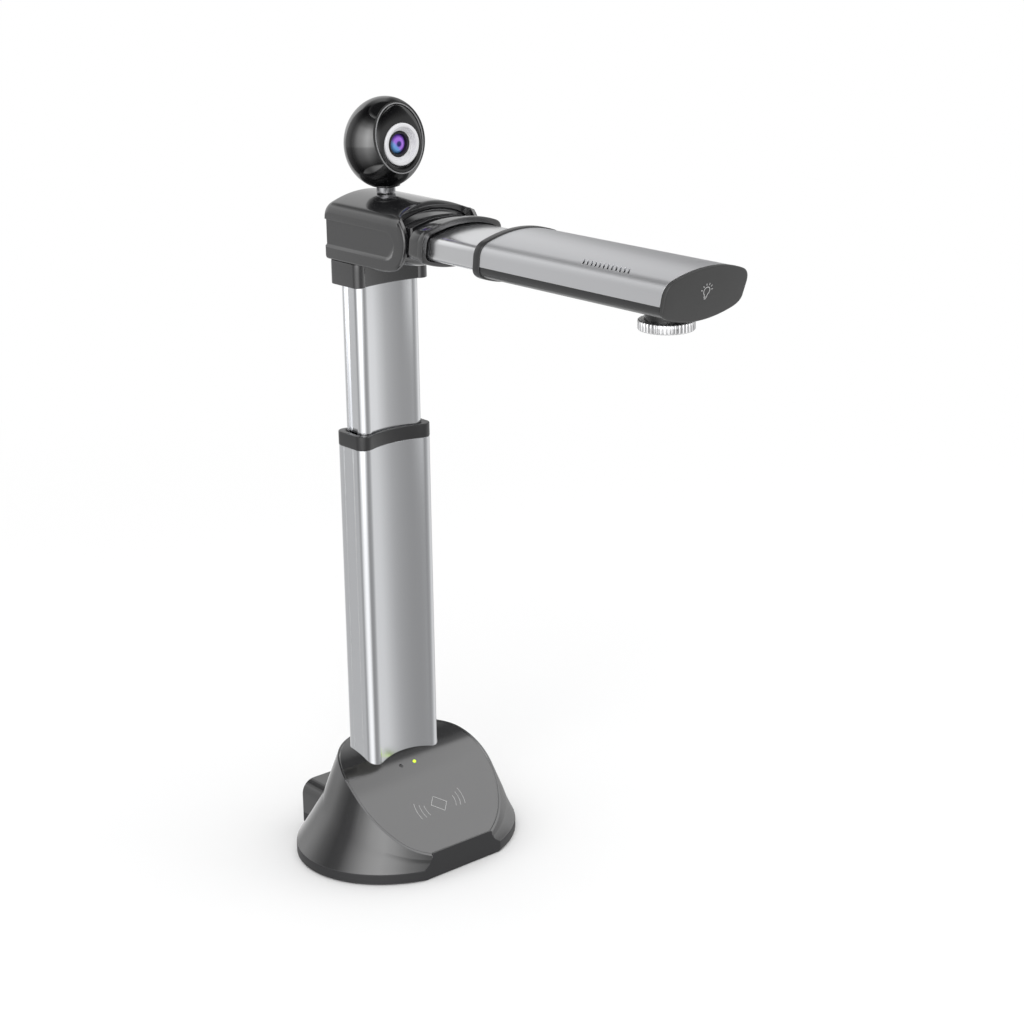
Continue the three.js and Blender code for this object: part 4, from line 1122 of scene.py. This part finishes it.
def build_ball():
    slab = [(-45, -40), (45, -40), (45, 40), (-45, 40)]
    front = solid(loft([[on_face(x, y, z) for x, z in slab] for y in (-40, -FACE_RIM["lip"])]))
    opening = solid(loft([rim_ring(-0.1, -20), rim_ring(-0.1, 1.3)]))
    boss = turned([(0.01, 410), (8.4, 410), (8.4, 425.5), (0.01, 425.5)], about(NECK.x, NECK.y))
    hollow = cut(ellipsoid(BALL["wall"]), boss)
    flange = [(0.01, 413.4), (7.9, 413.4), (8.3, 413.55), (8.4, 413.9), (8.4, 417), (0.01, 417)]
    low = BALL["flat"]
    room = [(0.01, 400), (7, 400), (7, low + 1), (4.1, low + 1), (4.1, 416)]
    room += [(r, z + SWIVEL_BALL["z"]) for r, z in arc(0, 0, 5.35, -20, 88, 12)] + [(0.01, 423.3)]
    rear = cut(ellipsoid(0), block(-40, 40, -60, 40, 400, low))
    join(rear, turned(flange, about(NECK.x, NECK.y)))
    cut(rear, front, opening, hollow, turned(room, about(NECK.x, NECK.y)))
    fine(rear, "webcam_rear_shell", "webcam", "black_gloss", "gloss")

    steps = 20
    lip = FACE_RIM["lip"]
    skin = [panel_ring(0, 0.45, 1.2), panel_ring(0, 0.45, 0.3 - lip), panel_ring(0, 0.55, 0.1 - lip)]
    for i in range(1, steps + 1):
        left = 1 - i / steps
        skin.append(panel_ring(i / steps, 0.6 * left, -lip * left ** 2))
    skin += [panel_ring(1 - i / 4, 1.4, 1.6) for i in range(5)]
    fine(solid(loft(skin, hollow=True)), "webcam_front_shell", "webcam", "black_gloss", "gloss")

    # A thin light grey bead fills the joint between the panel and the shell; its light colour is a painted
    # highlight of the joint's edge.
    bead = []
    for angle in range(0, 360, 45):
        a = math.radians(angle)
        bead.append(rim_ring(0.05 + 0.38 * math.cos(a), -0.95 + 0.38 * math.sin(a)))
    finish_piece(solid(loft(bead, hollow=True)), "webcam_face_line", "webcam", "white_trim",
                 "line", smooth=60)


def turned_front(y):
    """Stands a lathed shape on the eye's axis: its height runs back from y."""
    return lambda px, py, pz: (px, y + pz, EYE["z"] + py)


def build_eye():
    front = TRIM_LOW.y
    # The outside, the flat annulus, four steps of the funnel, then the bore.
    profile = [(12.15, 5.2), (12.15, 0.8), (11.95, 0.25), (11.4, 0.0), (10.1, 0.04)]
    r = 9.9
    y = 0.3
    for _ in range(4):
        profile += [(r, y), (r - 0.1, y + 0.5), (r - 0.5, y + 0.56)]
        r -= 0.56
        y += 0.72
    profile += [(7.5, y + 0.1), (7.5, 5.2)]
    ring = turned(profile, turned_front(front), 128)
    fine(ring, "webcam_trim_ring", "webcam", "white_trim", "white", smooth=25)
    barrel_profile = [(7.3, 8.7), (7.3, 0.5), (7.05, 0.1), (6.3, 0.0), (6.0, 0.25), (5.7, 1.2), (5.6, 3.6),
                      (5.5, 8.7)]
    housing = turned(barrel_profile, turned_front(EYE_LOW.y))
    fine(housing, "webcam_lens_barrel", "webcam", "dark_plastic", "dark")
    dome = [(0.01, 0.0), (1.5, 0.1), (3.0, 0.45), (4.4, 1.05), (5.4, 1.8), (5.4, 2.6), (0.01, 2.6)]
    glass = turned(dome, turned_front(EYE_LOW.y + 0.3))
    eye = coated_glass("webcam_glass", Vector((0, EYE_LOW.y + 0.3, EYE["z"])), 6.6)
    fine(glass, "webcam_lens_glass", "webcam", "lens_glass", eye)


def build_neck():
    foot = NECK.z - 0.3
    profile = [(0.01, NECK_LOW.z), (3.9, NECK_LOW.z), (3.9, foot), (5.35, foot), (5.5, foot + 0.15),
               (5.5, 412.8), (5.3, 413), (3.1, 413), (3.1, 413.8)]
    profile += [(r, z + SWIVEL_BALL["z"]) for r, z in arc(0, 0, SWIVEL_BALL["r"], -50, 88, 16)]
    profile += [(0.01, NECK_HIGH.z)]
    post = turned(profile, about(NECK.x, NECK.y))
    fine(post, "webcam_neck", "neck", "black_gloss", "neck")


# ---------------------------------------------------------------- base
RING_POINTS = 168


def ellipse(rx, ry, cy, z):
    return [(rx * math.cos(a), cy + ry * math.sin(a), z) for a in whole_turn(RING_POINTS)]


def wall_ring(z, inset):
    rise = z - WALL["at"]
    rx = WALL["rx"] - WALL["rx_fall"] * rise - inset
    ry = WALL["ry"] - WALL["ry_fall"] * rise - inset
    return ellipse(rx, ry, WALL["cy"], z)


def crease_ring(inset):
    """The line where the flared skirt meets the steeper wall: it falls towards the front."""
    ring = []
    for a in whole_turn(RING_POINTS):
        z = WALL["at"]
        for _ in range(6):
            rise = z - WALL["at"]
            x = (WALL["rx"] - WALL["rx_fall"] * rise - inset) * math.cos(a)
            y = WALL["cy"] + (WALL["ry"] - WALL["ry_fall"] * rise - inset) * math.sin(a)
            z = CREASE["back"] - CREASE["bend"] * (CREASE["y"] - y) ** 2
        ring.append((x, y, z - inset * 0.6))
    return ring


def skirt_rings(inset):
    """Rings from the foot of the skirt up to the crease, drawn in slightly between."""
    foot = ellipse(SKIRT["rx"] - inset, SKIRT["ry"] - inset, SKIRT["cy"], SKIRT["top"] + 0.4)
    crease = crease_ring(inset)
    middle = WALL["cy"]
    rings = []
    steps = 8
    for k in range(steps + 1):
        t = k / steps
        ring = []
        for (ax, ay, az), (bx, by, bz) in zip(foot, crease):
            left = 1 - SKIRT["hollow"] * 4 * t * (1 - t) / math.hypot(bx, by - middle)
            x = ax + (bx - ax) * t
            y = ay + (by - ay) * t
            ring.append((x * left, middle + (y - middle) * left, az + (bz - az) * t))
        rings.append(ring)
    return rings


def base_form(inset, bottom, ease):
    levels = ((ease, bottom), (0, bottom + ease), (0, SKIRT["top"] - ease), (ease * 0.35, SKIRT["top"]))
    rim = [ellipse(SKIRT["rx"] - inset - grow, SKIRT["ry"] - inset - grow, SKIRT["cy"], z)
           for grow, z in levels]
    rings = rim + skirt_rings(inset + ease * 0.5) + [wall_ring(z, inset) for z in (46, 54, 62, 72)]
    return solid(loft(rings))


def under_face(drop, half=95):
    """Everything below the face's curve, as a slab across the base."""
    lowered = []
    for (y, z), along in zip(FACE_LINE, directions(FACE_LINE)):
        lowered.append((y - along.y * drop, z + along.x * drop))
    outline = [(60, -5), (60, lowered[0][1]), *lowered, (-80, lowered[-1][1]), (-80, -5)]
    return across(outline, [(0, -half), (0, half)])


def port_box(inset, bottom, steps=10):
    half = PORT_BOX["half"] - inset
    top = PORT_BOX["top"] - inset
    r = PORT_BOX["round"] - inset
    outline = [(-half, bottom), (half, bottom)]
    outline += arc(half - r, top - r, r, 0, 90, steps) + arc(r - half, top - r, r, 90, 180, steps)
    levels = [(0, PORT_BOX["front"]), (0, PORT_BOX["back"] - inset - 0.6),
              (0.15, PORT_BOX["back"] - inset - 0.2), (0.6, PORT_BOX["back"] - inset)]
    return solid(loft([[(x, y, z) for x, z in offset(outline, -grow)] for grow, y in levels]))


def column_hole(grow):
    return prism(column_outline(LOWER_SECTION), 5, 90, grow)


def face_height(y):
    """(height, slope angle) of the face's curve at a y."""
    for (ay, az), (by, bz) in zip(FACE_LINE, FACE_LINE[1:]):
        if by <= y <= ay:
            t = (y - ay) / (by - ay)
            return az + (bz - az) * t, math.atan2(az - bz, ay - by)
    raise ValueError("y is off the face")


def square_to_face(x, y):
    """From axes square to the face at a point, with Z out of it, to the frame's."""
    z, tilt = face_height(y)
    return lambda px, py, pz: (x + px, y + py * math.cos(tilt) - pz * math.sin(tilt),
                               z + py * math.sin(tilt) + pz * math.cos(tilt))


def face_bore(x, y, r):
    """A cutter square to the face."""
    rings = [[(px, py, level) for px, py in circle(0, 0, r, 40)] for level in (-8, 3)]
    return solid(moved(loft(rings), square_to_face(x, y)))


def build_base():
    led_x = (LED_LOW.x + LED_HIGH.x) / 2
    mic_x = (MIC_LOW.x + MIC_HIGH.x) / 2

    shell = base_form(0, BASE_LOW.z, 0.5)
    join(shell, port_box(0, BASE_LOW.z))
    common(shell, under_face(0), block(-95, 95, FRONT_WALL, 90, -5, 90))
    seat = solid(loft([wall_ring(z, FACE_EDGE) for z in (8, 75)]))
    common(seat, block(-90, 90, FRONT_WALL + LIP["deep"], 80, 0, 90))
    cut(seat, under_face(2.0))
    hollow = base_form(2.4, -6, 0)
    common(hollow, under_face(4.4), block(-95, 95, FRONT_WALL + 2.4, 90, -8, 90))
    door = block(PANEL_LOW.x - 0.3, PANEL_HIGH.x + 0.3, 40, 60, PANEL_LOW.z - 0.3, PANEL_HIGH.z + 0.3)
    cut(shell, seat, hollow, port_box(2.4, -6), door)
    front, back = FRONT_WALL, FRONT_WALL + LIP["deep"]
    lip = []
    for inset, z in ((-1.2, LIP["low"]), (0, LIP["top"] - 0.4), (0.3, LIP["top"])):
        half = LIP["half"] - inset
        lip.append([(-half, front, z), (half, front, z), (half, back, z), (-half, back, z)])
    join(shell, solid(loft(lip)))
    cut(shell, column_hole(0.3), face_bore(led_x, SENSOR_Y, 2.2), face_bore(mic_x, SENSOR_Y, 2.2))
    fine(shell, "base_shell", "base", "base_plastic", "base", smooth=6)

    plate = solid(loft([wall_ring(z, FACE_EDGE + 0.45) for z in (8, 75)]))
    cut(plate, face_bore(mic_x, SENSOR_Y, 1.4), face_bore(led_x, SENSOR_Y, 1.35))
    common(plate, block(-90, 90, back + 0.35, 80, 0, 90), under_face(PLATE_DROP))
    cut(plate, under_face(1.9), column_hole(0.3))
    fine(plate, "base_face_plate", "base", "face_plastic", "face")

    dome = [(0.01, -5.2), (1.1, -5.2), (1.1, -0.4), (1.0, 0.0), (0.7, 0.3), (0.3, 0.42), (0.01, 0.45)]
    led = turned(dome, square_to_face(led_x, SENSOR_Y), 40)
    fine(led, "power_led", "base", "led_lens", "led")
    build_card_symbol()


def build_card_symbol():
    """A generic card between radio waves, printed on the face."""
    centre_x, centre_y = -0.1, -44.6
    _, tilt = face_height(centre_y)

    def surface(u, v, lift):
        y = centre_y + v * math.cos(tilt)
        z, lean = face_height(y)
        drop = PLATE_DROP - lift
        return (centre_x + u, y + math.sin(lean) * drop, z - math.cos(lean) * drop)

    long, short = 4.75, 3.3
    turn = math.radians(-41)
    square = [(-long, -short), (long, -short), (long, short), (-long, short)]
    card = [(u * math.cos(turn) - v * math.sin(turn), u * math.sin(turn) + v * math.cos(turn))
            for u, v in square]
    lines = []
    for start, end in zip(card, card[1:] + card[:1]):
        run = Vector((end[0] - start[0], end[1] - start[1])).normalized() * 0.2
        lines.append([(start[0] - run.x, start[1] - run.y), *line(start, end, 4)[:-1],
                      (end[0] + run.x, end[1] + run.y)])
    waves = []
    for r, middle in ((11.4, -9), (14.6, -5), (17.9, -1)):
        waves.append(arc(0.5, 0, r, middle - 18, middle + 18, 14))
        waves.append(arc(0.5, 0, r, 180 - middle - 18, 180 - middle + 18, 14))
    shapes = [strip(path, 0.36, surface) for path in lines]
    shapes += [strip(path, 0.32, surface) for path in waves]
    finish_piece(solid(gather(shapes)), "printed_card_symbol", "base", "white_trim", "ink")


def build_ports():
    """The insulating tongues inside the sockets at the back."""
    for node in ("usb_a_socket_left", "usb_a_socket_right"):
        low, top = corners(node)
        z = (low.z + top.z) / 2 + 0.5
        tongue = block(low.x + 1.6, top.x - 1.6, low.y + 4.2, top.y - 0.8, z, z + 1.4)
        finish_piece(tongue, f"tongue_{node}", "base", "nylon", "white")
    low, top = corners("usb_b_socket")
    tongue = block(low.x + 3.3, top.x - 3.3, low.y + 4.2, top.y - 1.2, low.z + 3.9, top.z - 3.6)
    finish_piece(tongue, "tongue_usb_b_socket", "base", "nylon", "white")


# ---------------------------------------------------------------- carried-over nodes
CARRIED = {
    "steel": ("base_bottom_plate", "foot_screw_left", "foot_screw_right", "slider_spring", "hinge_pin",
              "hinge_washer_left", "hinge_washer_right", "webcam_clamp_nut", "head_base_plate",
              "usb_b_socket", "usb_a_socket_left", "usb_a_socket_right", "microphone"),
    "iron": ("ballast_weight",),
    "dark": ("column_foot", "rear_port_panel"),
    "rubber": ("foot_mat",),
    "board": ("main_board", "card_antenna_board", "camera_board", "led_board", "touch_key_board",
              "webcam_board"),
    "nylon": ("column_slider", "arm_slider"),
    "window": ("led_window",),
}


def keep_out_of_reflections():
    """The lower column and the base don't show in each other, as in a lit product picture."""
    for name in ("fine_lower_column", "fine_base_shell", "fine_base_face_plate"):
        bpy.data.objects[name].visible_glossy = False


def dress_carried_nodes():
    for look, names in CARRIED.items():
        for name in names:
            dress(frame["nodes"][name], look)


# ---------------------------------------------------------------- studio
# How bright the studio looks in a reflection, by compass angle: 0 is the front, 90 the right. The
# first ring is below eye level, the second a little above it and the third high up.
LOW_WALL = ((-180, 0.70), (-150, 0.60), (-139, 0.60), (-118, 0.44), (-105, 0.42), (-88, 0.85),
            (-65, 1.30), (-45, 1.35), (-30, 1.10), (-15, 0.55), (-4, 0.36), (5, 0.36), (14, 0.37),
            (27, 0.42), (40, 0.50), (66, 0.83), (95, 0.86), (115, 0.56), (128, 0.42), (136, 0.45),
            (141, 0.95), (160, 0.90), (180, 0.70))
MID_WALL = ((-180, 1.20), (-165, 1.15), (-150, 0.95), (-134, 0.52), (-116, 0.22), (-99, 0.30),
            (-88, 0.90), (-78, 1.45), (-64, 2.20), (-48, 2.60), (-33, 2.15), (-19, 1.25), (-5, 0.80),
            (9, 0.32), (40, 0.45), (70, 0.70), (100, 0.50), (136, 0.30), (140, 0.80), (160, 0.95),
            (180, 1.20))
HIGH_WALL = ((-180, 0.15), (-133, 0.18), (-115, 1.10), (-104, 1.40), (-73, 1.30), (-50, 0.60),
             (-38, 0.40), (-10, 0.60), (20, 1.40), (40, 1.80), (97, 1.80), (101, 0.16), (130, 0.14),
             (142, 0.60), (155, 0.60), (180, 0.15))
# The same for what the ball alone sees round it, and how that fades with height, in millimetres
# from the ball's centre.
BALL_SCREEN = ((-180, 0.50), (-160, 0.45), (-144, 0.30), (-132, 0.60), (-118, 1.60), (-104, 2.20),
               (-86, 3.40), (-72, 2.60), (-60, 1.50), (-40, 0.65), (-20, 0.45), (20, 0.40), (60, 0.35),
               (180, 0.35))
BALL_FALL = ((-600, 0.02), (-400, 0.16), (-210, 0.36), (-90, 0.55), (-75, 0.85), (100, 1.00),
             (230, 0.80), (300, 0.45), (450, 0.12), (620, 0.02), (700, 0.02))
DIM = (0.04, 0.04, 0.04)
WHITE = (1.0, 1.0, 1.0)


def build_world():
    """An even white studio for soft light. In reflections it is a ring of soft panels with a large
    panel overhead, so that glossy faces show broad bands."""
    world = bpy.data.worlds.new("studio")
    bpy.context.scene.world = world
    world.use_nodes = True
    sky = Nodes(world.node_tree)
    x, y, z = sky.split(sky.new("TexCoord").outputs["Generated"])
    azimuth = sky.math("ARCTAN2", x, sky.math("MULTIPLY", y, -1.0))
    around = sky.math("ADD", sky.math("DIVIDE", azimuth, 2 * math.pi), 0.5)
    low, middle, high = (sky.ramp(around, wall, -180, 180) for wall in (LOW_WALL, MID_WALL, HIGH_WALL))
    walls = sky.blend(sky.mapped(z, -0.15, 0.08), low, middle)
    upper = sky.blend(sky.mapped(z, 0.50, 0.64), walls, high)
    front = sky.blend(sky.mapped(y, 0.08, 0.13), (1.15, 1.15, 1.15), DIM)
    overhead = sky.blend(sky.mapped(x, 0.15, 0.32), DIM, front)
    studio = sky.blend(sky.mapped(z, 0.80, 0.88), upper, overhead)
    background = sky.tree.nodes["Background"]
    reflected = sky.new("LightPath").outputs["Is Glossy Ray"]
    sky.feed(background.inputs["Color"], sky.blend(reflected, WHITE, studio))
    background.inputs["Strength"].default_value = 1.0


def stage_piece(name, work, material):
    """Turns a bmesh into a linked object with one material, for the studio."""
    mesh = bpy.data.meshes.new(name)
    work.to_mesh(mesh)
    work.free()
    mesh.materials.append(material)
    thing = place_mesh(name, mesh)
    return thing


def build_floor():
    """A pale floor whose far part fades into the white of the studio."""
    recipe = Recipe("pale_floor")
    recipe.finish(base_color=recipe.blend(recipe.noise(2.2, 2), (0.90,) * 3, (0.93,) * 3),
                  roughness=0.9, specular_ior_level=0.0)
    fade = recipe.mapped(recipe.vector("LENGTH", recipe.place), 0.30, 1.10)
    recipe.cover(fade, recipe.shader, recipe.made("Emission", {"Color": WHITE}))
    work = bmesh.new()
    bmesh.ops.create_circle(work, cap_ends=True, segments=96, radius=4.0)
    stage_piece("floor", work, recipe.material).visible_glossy = False


def soft_panels(centre, low, high):
    """Panels that only the webcam reflects: clear to every ray that doesn't pass through it."""
    recipe = Recipe("soft_panels")
    x, y, z = recipe.split(recipe.place)
    azimuth = recipe.math("ARCTAN2", x, recipe.math("SUBTRACT", centre.y * MM, y))
    around = recipe.math("ADD", recipe.math("DIVIDE", azimuth, 2 * math.pi), 0.5)
    above = recipe.math("DIVIDE", recipe.math("SUBTRACT", z, low * MM), (high - low) * MM)
    panel = recipe.ramp(around, BALL_SCREEN, -180, 180)
    fall = recipe.ramp(above, BALL_FALL, BALL_FALL[0][0], BALL_FALL[-1][0])
    light = recipe.made("Emission", {"Color": recipe.math("MULTIPLY", panel, fall)})
    ray = recipe.new("NewGeometry").outputs
    arm = recipe.vector("SUBTRACT", ray["Position"], tuple(centre * MM))
    miss = recipe.vector("LENGTH", recipe.vector("CROSS_PRODUCT", arm, ray["Incoming"]))
    from_ball = recipe.math("LESS_THAN", miss, (BALL["rz"] + 0.5) * MM)
    return recipe.cover(from_ball, recipe.new("BsdfTransparent"), light)


def build_ball_screen():
    """A ring of soft panels close round the webcam, seen only in its reflections."""
    centre = Vector((0, BALL["y"], BALL["z"]))
    radius, start, end, steps = 500, -175, 75, 50
    low, high = centre.z + BALL_FALL[0][0], centre.z + BALL_FALL[-1][0]
    work = bmesh.new()
    columns = []
    for i in range(steps + 1):
        a = math.radians(start + (end - start) * i / steps)
        x, y = centre.x + radius * math.sin(a), centre.y - radius * math.cos(a)
        columns.append([work.verts.new((x * MM, y * MM, z * MM)) for z in (low, high)])
    for (a, b), (c, d) in zip(columns, columns[1:]):
        work.faces.new((a, c, d, b))
    screen = stage_piece("ball_screen", work, soft_panels(centre, low, high))
    for kind in ("camera", "diffuse", "shadow", "transmission", "volume_scatter"):
        setattr(screen, f"visible_{kind}", False)


# Name, place, size and power of each soft light.
LIGHTS = (("key", (-1.1, -0.9, 1.5), 1.2, 7.0), ("fill", (1.4, -0.6, 1.2), 1.4, 3.0))


def build_lights():
    """Two broad soft lights from the upper left and right for the shadow under the object."""
    for name, place, size, power in LIGHTS:
        light = bpy.data.lights.new(name, "AREA")
        light.size = size
        light.energy = power
        lamp = bpy.data.objects.new(name, light)
        lamp.location = place
        aim = Vector((0, -0.05, 0.15)) - Vector(place)
        lamp.rotation_euler = aim.to_track_quat("-Z", "Y").to_euler()
        lamp.visible_glossy = False
        bpy.context.scene.collection.objects.link(lamp)


CAMERA = {"azimuth": -40.44, "elevation": 17.92, "roll": -0.694, "distance": 1.28, "lens": 75.26}
AIM = Vector((0.0442, -0.0655, 0.2194))


def build_camera():
    data = bpy.data.cameras.new("camera")
    data.sensor_width = 36
    data.lens = CAMERA["lens"]
    camera = bpy.data.objects.new("camera", data)
    a = math.radians(-CAMERA["azimuth"])
    e = math.radians(CAMERA["elevation"])
    back = Vector((-math.sin(a) * math.cos(e), -math.cos(a) * math.cos(e), math.sin(e)))
    camera.location = AIM + back * CAMERA["distance"]
    turn = (-back).to_track_quat("-Z", "Y").to_matrix()
    roll = math.radians(CAMERA["roll"])
    right = turn.col[0] * math.cos(roll) + turn.col[1] * math.sin(roll)
    up = turn.col[1] * math.cos(roll) - turn.col[0] * math.sin(roll)
    turn.col[0], turn.col[1] = right, up
    camera.rotation_euler = turn.to_euler()
    bpy.context.scene.collection.objects.link(camera)
    bpy.context.scene.camera = camera
    bpy.context.scene.view_settings.view_transform = "Standard"


dress_carried_nodes()
build_base()
build_ports()
build_lower_column()
build_collar()
build_inner_column()
build_bracket()
build_head()
build_arm_socket()
build_inner_arm()
build_sleeve()
build_end_cap()
build_lens()
build_neck()
build_ball()
build_eye()
keep_out_of_reflections()
build_world()
build_floor()
build_ball_screen()
build_lights()
build_camera()
